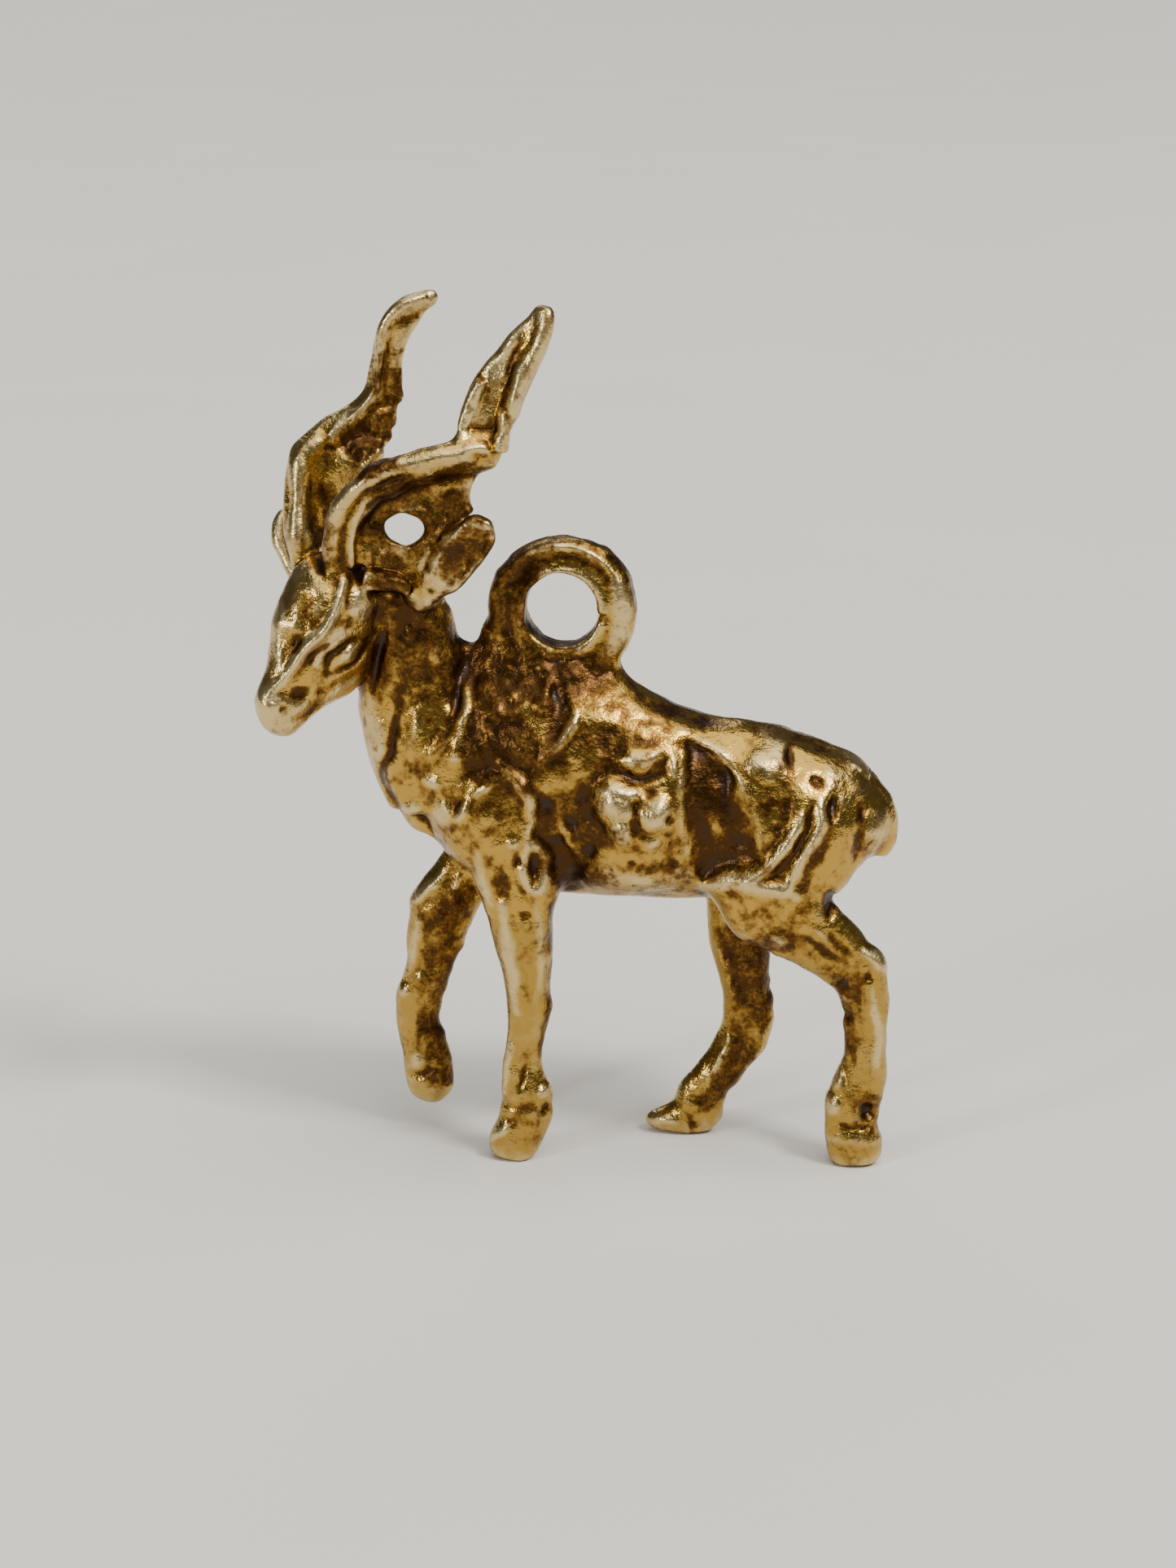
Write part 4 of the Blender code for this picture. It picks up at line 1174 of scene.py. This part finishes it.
@dataclass(frozen=True)
class Trunk(SubAssembly):
    """The neck, barrel and rump, cast in two halves, and the tail."""

    slot: str = "body_gold"
    pieces: tuple[tuple[str, str], ...] = (
        ("trunk_near_half", "left_body_half"),
        ("trunk_far_half", "right_body_half"),
        ("tail_casting", "tail"),
    )
    finish: OldGold = OldGold("body_old_gold", wear=0.02, tarnish=0.06)
    touches: tuple[Touch, ...] = TRUNK_TOUCHES
    far_touches: tuple[Touch, ...] = across(TRUNK_TOUCHES, (0.15, 0.1), 0.85)
    ridges: tuple[Ridge, ...] = (
        # The brisket, low between the forelegs.
        Ridge(((-5.25, 0.1, 10.9), (-4.9, 0.1, 10.2), (-4.4, 0.1, 9.95), (-3.95, 0.1, 9.5)), (0.25, 0.32, 0.32, 0.22)),
    )


@dataclass(frozen=True)
class Head(SubAssembly):
    """The bowed head and the two ears."""

    slot: str = "head_gold"
    pieces: tuple[tuple[str, str], ...] = (
        ("head_casting", "head"), ("near_ear", "left_ear"), ("far_ear", "right_ear"),
    )
    finish: OldGold = OldGold("head_worn_gold", wear=0.22, tarnish=-0.02)
    touches: tuple[Touch, ...] = HEAD_TOUCHES
    ridges: tuple[Ridge, ...] = (
        # The poll, below the near ear.
        Ridge(((-6.1, -1.5, 17.7), (-5.5, -1.6, 17.62), (-4.75, -1.75, 17.5)), (0.3, 0.34, 0.28)),
    )
    far_touches: tuple[Touch, ...] = (
        pad((-7.9, 16.35), (0.26, 0.32), 0.16, 0, 0.7),
        thread(((-8.3, 16.0), (-8.2, 16.6), (-7.8, 16.9), (-7.4, 16.7)), 0.15, -0.18, 0.9),
        thread(((-8.3, 16.0), (-7.9, 16.0), (-7.5, 16.3), (-7.4, 16.7)), 0.15, -0.16, 0.9),
        pad((-8.35, 17.7), (0.3, 0.6), -0.2, 0.8, 0, -10),
    )


@dataclass(frozen=True)
class Horns(SubAssembly):
    """The two spiral horns, each a keeled thread that rises, turns and flattens to a blade."""

    slot: str = "horn_gold"
    pieces: tuple[tuple[str, str], ...] = (("near_horn", "left_horn"), ("far_horn", "right_horn"))
    finish: OldGold = OldGold("horn_worn_gold", wear=0.06, tarnish=0.06)
    touches: tuple[Touch, ...] = HORN_TOUCHES
    ridges: tuple[Ridge, ...] = (
        # The near horn: its rope from root to knot, the finer line inside it, and the blade's keel.
        Ridge(
            (
                (-7.0, -1.5, 17.4), (-7.05, -1.65, 18.2), (-6.95, -1.87, 19.05), (-6.7, -2.07, 19.8),
                (-6.2, -2.2, 20.35), (-5.6, -2.2, 20.8), (-4.95, -2.17, 21.02), (-4.05, -2.0, 21.2),
                (-3.2, -1.9, 21.38), (-2.65, -1.75, 21.5),
            ),
            (0.3, 0.32, 0.33, 0.34, 0.34, 0.35, 0.37, 0.4, 0.38, 0.26),
            keel=0.15,
        ),
        Ridge(
            (
                (-6.5, -1.65, 18.0), (-6.4, -1.95, 19.0), (-6.15, -2.2, 19.85), (-5.75, -2.3, 20.3),
                (-5.15, -2.3, 20.55), (-4.5, -2.2, 20.72), (-3.7, -2.05, 20.8),
            ),
            (0.12, 0.14, 0.15, 0.15, 0.14, 0.12, 0.07),
        ),
        Ridge(
            (
                (-2.25, -1.65, 21.4), (-2.1, -1.6, 22.2), (-1.9, -1.5, 23.0), (-1.45, -1.42, 23.8),
                (-1.1, -1.35, 24.5), (-0.97, -1.25, 25.05), (-1.0, -1.2, 25.4),
            ),
            (0.3, 0.32, 0.3, 0.28, 0.3, 0.31, 0.22),
            flatness=0.8,
            twist=0.1,
        ),
        # The far horn: its rope, and the keel of its blade.
        Ridge(
            (
                (-8.15, -0.2, 17.6), (-8.2, 0.0, 18.7), (-8.2, 0.28, 19.8), (-8.15, 0.55, 20.6),
                (-7.8, 0.75, 21.05), (-7.25, 0.85, 21.35), (-6.75, 1.0, 21.7),
            ),
            (0.26, 0.28, 0.3, 0.3, 0.28, 0.24, 0.14),
            keel=0.1,
        ),
        Ridge(
            (
                (-7.05, 0.85, 21.4), (-6.7, 0.92, 21.75), (-6.3, 1.0, 22.2), (-5.95, 1.0, 22.8),
                (-5.85, 1.05, 23.5), (-5.8, 1.1, 24.1), (-5.6, 1.15, 24.6), (-5.15, 1.2, 25.0), (-4.5, 1.3, 25.3),
            ),
            (0.12, 0.15, 0.16, 0.17, 0.17, 0.19, 0.24, 0.27, 0.18),
            keel=0.4,
        ),
        # The near blade's base, where it leaves the knot.
        Ridge(
            ((-3.35, -1.8, 21.55), (-3.2, -1.65, 22.1), (-3.0, -1.55, 22.7), (-2.7, -1.5, 23.4)),
            (0.22, 0.24, 0.24, 0.14),
        ),
    )


@dataclass(frozen=True)
class HangingRing(SubAssembly):
    """The thick ring on the withers that the charm hangs from.

    centre is in (x, z); middle is the y of the plane between its two faces; the lips stand
    lip_depth to either side of it.
    """

    slot: str = "ring_gold"
    pieces: tuple[tuple[str, str], ...] = (("hanging_ring_casting", "hanging_ring"),)
    finish: OldGold = OldGold("ring_old_gold", tarnish=0.04)
    centre: Point2 = (-0.585, 16.47)
    middle: float = 0.403
    lip_radius: float = 1.2
    lip_girth: float = 0.14
    lip_depth: float = 0.55
    # The channel and seams round the hole: radius, angles, then as for a thread.
    rounds: tuple[tuple[float, ...], ...] = (
        (2.05, -15, 140, 0.11, -0.13, 0.5),
        (1.66, 35, 215, 0.3, -0.15, 0.5),
        (1.75, -60, 30, 0.4, 0.07, 0.0, 0.5),
        (1.95, 60, 170, 0.12, 0.05, 0.0, 0.3),
        (1.5, 245, 300, 0.14, -0.1, 0.7),
    )
    # The marks where the ring's foot meets the back.
    marks: tuple[Touch, ...] = (
        thread(((1.05, 15.3), (1.2, 14.9), (1.35, 14.5)), 0.1, -0.08, 0.4),
        thread(((-2.3, 16.9), (-2.35, 16.5), (-2.25, 16.1)), 0.13, 0.1, 0.0, 0.2),
    )

    def press(self, near: SideRelief, far: SideRelief) -> None:
        """Cuts the ring's channel and seams on both sides.

        Args:
            near: The side that faces the camera.
            far: The other side.
        """
        rounds = tuple(
            thread(arc(self.centre, radius, start, end), *work) for radius, start, end, *work in self.rounds
        )
        for side in (near, far):
            for touch in rounds + self.marks:
                side.press(touch)

    def lips(self) -> tuple[Ridge, ...]:
        """The raised lip round the hole, on both faces.

        Returns:
            One ridge for each face.
        """
        out = []
        for side in (-1, 1):
            y = self.middle + side * self.lip_depth
            path = tuple((x, y, z) for x, z in arc(self.centre, self.lip_radius, 0, 345, 23))
            out.append(Ridge(path, (self.lip_girth,) * len(path)))
        return tuple(out)


@dataclass(frozen=True)
class Legs(SubAssembly):
    """The four walking legs."""

    slot: str = "leg_gold"
    pieces: tuple[tuple[str, str], ...] = (
        ("near_foreleg", "left_foreleg"),
        ("far_foreleg", "right_foreleg"),
        ("near_hindleg", "left_hindleg"),
        ("far_hindleg", "right_hindleg"),
    )
    # The legs' bright gold is darker than the trunk's. This is painted shade, standing in for the darker light on the
    # legs; their tarnish and wear are their own.
    finish: OldGold = OldGold("leg_old_gold_with_painted_shade", bright=(0.42, 0.26, 0.052, 1.0), wear=-0.04, tarnish=0.08)
    touches: tuple[Touch, ...] = LEG_TOUCHES
    far_touches: tuple[Touch, ...] = across(LEG_TOUCHES, (0.1, 0.05), 0.7)


# ---------------------------------------------------------------- the casting


@dataclass
class Charm:
    """The whole charm as one block of wax, and its parting into pieces.

    band is how far distances are known; closing fills gaps up to twice its width; weld is the
    fillet along a ridge; a touch fades out between the two skin_depths; lumps are (size, height,
    seed) and grit is (size, height); dive is how steeply a casting goes under its neighbour; the
    wax may stand spare past the frame. Crests are read against a finely and a broadly smoothed
    block. seam_blend, in cells, and middle_blend are where the two sides of a soft step lie.
    """

    parts: tuple[SubAssembly, ...]
    lattice: Lattice = field(default_factory=Lattice)
    band: float = 0.62
    closing: float = 0.07
    smoothing: int = 5
    weld: float = 0.12
    skin_depth: Point2 = (0.2, 0.65)
    lumps: tuple[tuple[float, float, int], ...] = ((0.75, 0.05, 11), (0.3, 0.022, 12))
    grit: Point2 = (0.2, 0.045)
    dive: float = 1.5
    spare: float = 0.12
    side_seeds: tuple[int, int] = (40, 50)
    crest_shares: Point2 = (0.9, 0.35)
    crest_passes: tuple[int, int] = (5, 10)
    broad_step: int = 2
    seam_blend: Point2 = (-0.5, 1.0)
    middle_blend: Point2 = (-0.25, 0.25)
    mid_plane: float = 0.4
    low: np.ndarray = field(init=False)
    high: np.ndarray = field(init=False)
    first: np.ndarray = field(init=False)
    second: np.ndarray = field(init=False)
    owner: np.ndarray = field(init=False)
    near: dict[str, tuple[Window, np.ndarray]] = field(init=False)
    wax: np.ndarray = field(init=False)
    fine: np.ndarray = field(init=False)
    broad: np.ndarray = field(init=False)
    middle: np.ndarray = field(init=False)
    sides: tuple[SideRelief, SideRelief] = field(init=False)

    def melt(self, nodes: dict[str, bpy.types.Object]) -> None:
        """Fills the block from the frame's nodes, and closes the fine gaps between them.

        Args:
            nodes: The frame's nodes, by name.
        """
        meshes = {}
        for name, node in nodes.items():
            points, faces = triangles(node.data)
            meshes[name] = (points / MM, faces)
        everything = np.vstack([points for points, _ in meshes.values()])
        self.low, self.high = everything.min(0), everything.max(0)
        self.lattice.span(self.low, self.high)
        shape = self.lattice.shape
        self.first = np.full(shape, self.band, np.float32)
        self.second = np.full(shape, self.band, np.float32)
        self.owner = np.full(shape, -1, np.int8)
        self.near = {}
        for index, (name, (points, faces)) in enumerate(meshes.items()):
            window = self.lattice.window(points.min(0), points.max(0))
            away = np.clip(self.lattice.distances(points, faces, window, self.band), -self.band, self.band)
            first, second = self.first[window], self.second[window]
            closer = away < first
            second[...] = np.where(closer, first, np.minimum(second, away))
            first[...] = np.minimum(first, away)
            self.owner[window][closer] = index
            self.near[name] = (window, away)
        whole = tuple(slice(0, n) for n in shape)
        points, quads = self.lattice.skin(self.first - self.closing, whole)
        faces = np.vstack([quads[:, :3], quads[:, [0, 2, 3]]])
        self.wax = self.lattice.distances(points, faces, whole, self.band + self.closing) + self.closing
        soften(self.wax, self.smoothing)
        log.info("block of wax: %s cells", shape)

    def lay_ridges(self, ridges: tuple[Ridge, ...], sweeper: RidgeSweep) -> None:
        """Welds swept ridges on to the block.

        Args:
            ridges: The ridges, in the order in which they are welded on.
            sweeper: What sweeps them.
        """
        for number, ridge in enumerate(ridges):
            points, faces = sweeper.sweep(f"ridge_{number}", ridge)
            window = self.lattice.window(points.min(0), points.max(0))
            away = self.lattice.distances(points, faces, window, self.band)
            wax = self.wax[window]
            share = np.clip(0.5 + 0.5 * (wax - away) / self.weld, 0, 1)
            wax[...] = wax * (1 - share) + away * share - self.weld * share * (1 - share)
        log.info("%d ridges welded on", len(ridges))

    def press_sides(self) -> None:
        """Works every touch into the two sides of the block."""
        x, y, z = (self.lattice.places(axis) for axis in range(3))
        self.sides = (SideRelief(x, z), SideRelief(x, z))
        for part in self.parts:
            part.press(*self.sides)
        size, height = self.grit
        for seed, side in zip(self.side_seeds, self.sides):
            side.weather(seed)
            side.height += height * rolling(side.height.shape, size / self.lattice.cell, seed + 5) * side.stain
        solid = self.wax < 0
        empty = ~solid.any(axis=1)
        front = np.where(empty, 1e3, y[solid.argmax(axis=1)])
        back = np.where(empty, -1e3, y[len(y) - 1 - solid[:, ::-1].argmax(axis=1)])
        for j, level in enumerate(y):
            near = 1 - smoothstep(*self.skin_depth, level - front)
            far = 1 - smoothstep(*self.skin_depth, back - level)
            self.wax[:, j] -= self.sides[0].height * near + self.sides[1].height * far
        self.middle = np.where(empty, self.mid_plane, (front + back) / 2)
        log.info("both sides pressed")

    def finish_surface(self) -> None:
        """Adds the casting's own lumps, levels the soles and keeps the block to its size."""
        for size, height, seed in self.lumps:
            self.wax += height * rolling(self.lattice.shape, size / self.lattice.cell, seed)
        low, high = self.low - self.spare, self.high + self.spare
        low[2] = 0.0
        for axis in range(3):
            place = self.lattice.places(axis).reshape([-1 if a == axis else 1 for a in range(3)])
            np.maximum(self.wax, low[axis] - place, out=self.wax)
            np.maximum(self.wax, place - high[axis], out=self.wax)
        soften(self.wax, 1)
        np.maximum(self.wax, -self.lattice.places(2), out=self.wax)
        self.fine = self.wax.copy()
        soften(self.fine, self.crest_passes[0])
        step = self.broad_step
        self.broad = np.ascontiguousarray(self.wax[::step, ::step, ::step])
        soften(self.broad, self.crest_passes[1])

    def part_piece(
        self, name: str, index: int
    ) -> tuple[np.ndarray, np.ndarray, np.ndarray, dict[Layer, np.ndarray]]:
        """Takes one casting out of the block.

        Beyond its own bounds the casting dives under its neighbours, as a soldered joint does.

        Args:
            name: The frame node that the casting stands for.
            index: The node's place in the block.

        Returns:
            Points in metres, faces, a normal for each point, and the values for the finish.
        """
        window, away = self.near[name]
        other = np.where(self.owner[window] == index, self.second[window], self.first[window])
        beyond = (away - other) / 2
        block = self.wax[window] + self.dive * np.maximum(beyond, 0)
        points, quads = largest(*self.lattice.skin(block, window))
        outside = np.full(self.lattice.shape, self.band, np.float32)
        outside[window] = beyond
        share = smoothstep(*self.seam_blend, self.lattice.read(outside, points) / self.lattice.cell)[:, None]
        normals = unit(self._slope(points)) * (1 - share) + corner_normals(points, quads) * share
        return points * MM, quads, unit(normals), self._layers(points)

    def _slope(self, points: np.ndarray) -> np.ndarray:
        """The direction in which the whole block's surface faces.

        Args:
            points: Where to read it, in millimetres.

        Returns:
            One direction for each point, of any length.
        """
        step = 0.9 * self.lattice.cell
        out = np.empty_like(points)
        for axis in range(3):
            shift = np.zeros(3)
            shift[axis] = step
            ahead, behind = (self.lattice.read(self.wax, points + way * shift) for way in (1, -1))
            out[:, axis] = ahead - behind
        return out

    def _layers(self, points: np.ndarray) -> dict[Layer, np.ndarray]:
        """How far each point stands out, and its tarnish and wear.

        Args:
            points: The points, in millimetres.

        Returns:
            One value a point, for each layer of the finish.
        """
        cell = self.lattice.cell
        here = self.lattice.read(self.wax, points)
        fine = (self.lattice.read(self.fine, points) - here) / cell
        broad = (self.lattice.read(self.broad, points, self.broad_step) - here) / cell
        crest = np.clip(self.crest_shares[0] * fine + self.crest_shares[1] * broad, -1, 1)
        columns = np.rint(points[:, [0, 2]] / cell - self.lattice.low[[0, 2]]).astype(int)
        i, k = np.clip(columns, 0, np.array(self.middle.shape) - 1).T
        far = smoothstep(*self.middle_blend, points[:, 1] - self.middle[i, k])
        near_side, far_side = self.sides
        return {
            Layer.CREST: crest,
            Layer.STAIN: near_side.stain[i, k] * (1 - far) + far_side.stain[i, k] * far,
            Layer.PALE: near_side.pale[i, k] * (1 - far) + far_side.pale[i, k] * far,
        }


def unit(vectors: np.ndarray) -> np.ndarray:
    """Vectors brought to length 1."""
    return vectors / np.maximum(np.linalg.norm(vectors, axis=1, keepdims=True), 1e-12)


def corner_normals(points: np.ndarray, quads: np.ndarray) -> np.ndarray:
    """Normals of a mesh at its points, from the faces round each.

    Args:
        points: The mesh's points.
        quads: Its faces.

    Returns:
        One normal for each point.
    """
    diagonals = np.cross(points[quads[:, 2]] - points[quads[:, 0]], points[quads[:, 3]] - points[quads[:, 1]])
    out = np.zeros_like(points)
    for corner in range(4):
        for axis in range(3):
            out[:, axis] += np.bincount(quads[:, corner], diagonals[:, axis], len(points))
    return unit(out)


def largest(points: np.ndarray, quads: np.ndarray) -> tuple[np.ndarray, np.ndarray]:
    """The largest of a mesh's islands.

    Args:
        points: The mesh's points.
        quads: Its faces.

    Returns:
        The points and faces of that island alone.
    """
    label = np.arange(len(points))
    a, b = quads.reshape(-1), np.roll(quads, 1, axis=1).reshape(-1)
    while True:
        least = np.minimum(label[a], label[b])
        new = label.copy()
        for target in (a, b, label[a], label[b]):
            np.minimum.at(new, target, least)
        new = new[new]
        if np.array_equal(new, label):
            break
        label = new
    keep = label == np.bincount(label).argmax()
    number = np.cumsum(keep) - 1
    return points[keep], number[quads[keep[quads[:, 0]]]]


def cast(
    name: str,
    points: np.ndarray,
    quads: np.ndarray,
    normals: np.ndarray,
    layers: dict[Layer, np.ndarray],
    finish: bpy.types.Material,
) -> bpy.types.Object:
    """Makes a piece of the charm.

    Args:
        name: The piece's name.
        points: Its points, in metres.
        quads: Its faces.
        normals: A normal for each point.
        layers: The values for its finish.
        finish: Its material.

    Returns:
        The piece's object, at the origin.
    """
    mesh = bpy.data.meshes.new(name)
    mesh.from_pydata(points.tolist(), [], quads.tolist())
    mesh.polygons.foreach_set("use_smooth", [True] * len(quads))
    for which, values in layers.items():
        layer = mesh.attributes.new(which.value, "FLOAT", "POINT")
        layer.data.foreach_set("value", values.astype(np.float32))
    mesh.normals_split_custom_set_from_vertices(normals.tolist())
    mesh.materials.append(finish)
    return stand(name, mesh)


# ---------------------------------------------------------------- the studio


@dataclass(frozen=True)
class Softbox:
    """A large soft light, aimed at the middle of the charm."""

    name: str
    place: Point3
    size: Point2
    power: float
    colour: Point3 = (1.0, 1.0, 1.0)
    aim: Point3 = (0, 0, 0.012)

    def make(self) -> None:
        """Hangs the light."""
        lamp = bpy.data.lights.new(self.name, "AREA")
        lamp.shape = "RECTANGLE"
        lamp.size, lamp.size_y = self.size
        lamp.energy = self.power
        lamp.color = self.colour
        holder = stand(self.name, lamp)
        holder.location = self.place
        holder.rotation_euler = (Vector(self.aim) - Vector(self.place)).to_track_quat("-Z", "Y").to_euler()


@dataclass(frozen=True)
class Studio:
    """A plain pale floor, soft lights and the camera."""

    floor_reach: float = 1.5
    floor_finish: MattCloth = MattCloth()
    azimuth: float = 3.0
    elevation: float = 15.0
    distance: float = 0.108
    aim: Point3 = (0.0001555, 0.0001023, 0.0112761)
    lens: float = 84.8
    sensor: float = 36.0
    nearest: float = 0.005
    farthest: float = 10.0
    world: Colour = (0.60, 0.60, 0.60, 1.0)
    world_strength: float = 0.15
    daylight: float = 2.5
    daylight_spread: float = 75.0
    daylight_from: Point3 = (0.3, -0.25, 1.0)
    lights: tuple[Softbox, ...] = (
        Softbox("key_softbox", (0.48, -0.4, 0.75), (0.2, 0.16), 5.0, (1.0, 0.98, 0.95)),
        Softbox("fill_softbox", (-0.7, -0.7, 0.4), (0.16, 0.24), 3.5, (0.96, 0.98, 1.0)),
        Softbox("rim_softbox", (-0.35, 1.1, 0.9), (0.8, 0.3), 2.5),
    )

    def build(self) -> None:
        """Sets up the whole studio."""
        reach = self.floor_reach
        corners = [(-reach, -reach, 0), (reach, -reach, 0), (reach, reach, 0), (-reach, reach, 0)]
        mesh = bpy.data.meshes.new("floor")
        mesh.from_pydata(corners, [], [(0, 1, 2, 3)])
        mesh.materials.append(self.floor_finish.make())
        stand("floor", mesh)
        world = bpy.data.worlds.new("studio_air")
        world.use_nodes = True
        air = world.node_tree.nodes["Background"]
        air.inputs["Color"].default_value = self.world
        air.inputs["Strength"].default_value = self.world_strength
        bpy.context.scene.world = world
        day = bpy.data.lights.new("daylight", "SUN")
        day.energy = self.daylight
        day.angle = math.radians(self.daylight_spread)
        holder = stand("daylight", day)
        holder.rotation_euler = Vector(self.daylight_from).to_track_quat("Z", "Y").to_euler()
        for light in self.lights:
            light.make()
        self._camera()

    def _camera(self) -> None:
        """Places the camera."""
        side, rise = math.radians(self.azimuth), math.radians(self.elevation)
        back = Vector((math.sin(side) * math.cos(rise), -math.cos(side) * math.cos(rise), math.sin(rise)))
        lens = bpy.data.cameras.new("camera")
        lens.lens = self.lens
        lens.sensor_width = self.sensor
        lens.clip_start = self.nearest
        lens.clip_end = self.farthest
        holder = stand("camera", lens)
        holder.location = Vector(self.aim) + back * self.distance
        holder.rotation_euler = back.to_track_quat("Z", "Y").to_euler()
        bpy.context.scene.camera = holder


def main() -> None:
    """Builds the charm and its studio."""
    logging.basicConfig(level=logging.INFO, format="%(name)s: %(message)s")
    ring = HangingRing()
    parts = (Trunk(), Head(), Horns(), replace(ring, ridges=ring.lips()), Legs())
    charm = Charm(parts)
    charm.melt(frame["nodes"])
    charm.lay_ridges(tuple(ridge for part in parts for ridge in part.ridges), RidgeSweep())
    charm.press_sides()
    charm.finish_surface()
    order = list(frame["nodes"])
    for part in parts:
        finish = part.finish.make()
        for name, node in part.pieces:
            piece = cast(name, *charm.part_piece(node, order.index(node)), finish)
            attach(piece, "root")
            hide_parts(node)
            log.info("%s: %d faces, stands for %s", name, len(piece.data.polygons), node)
    Studio().build()


if __name__ == "__main__":
    main()
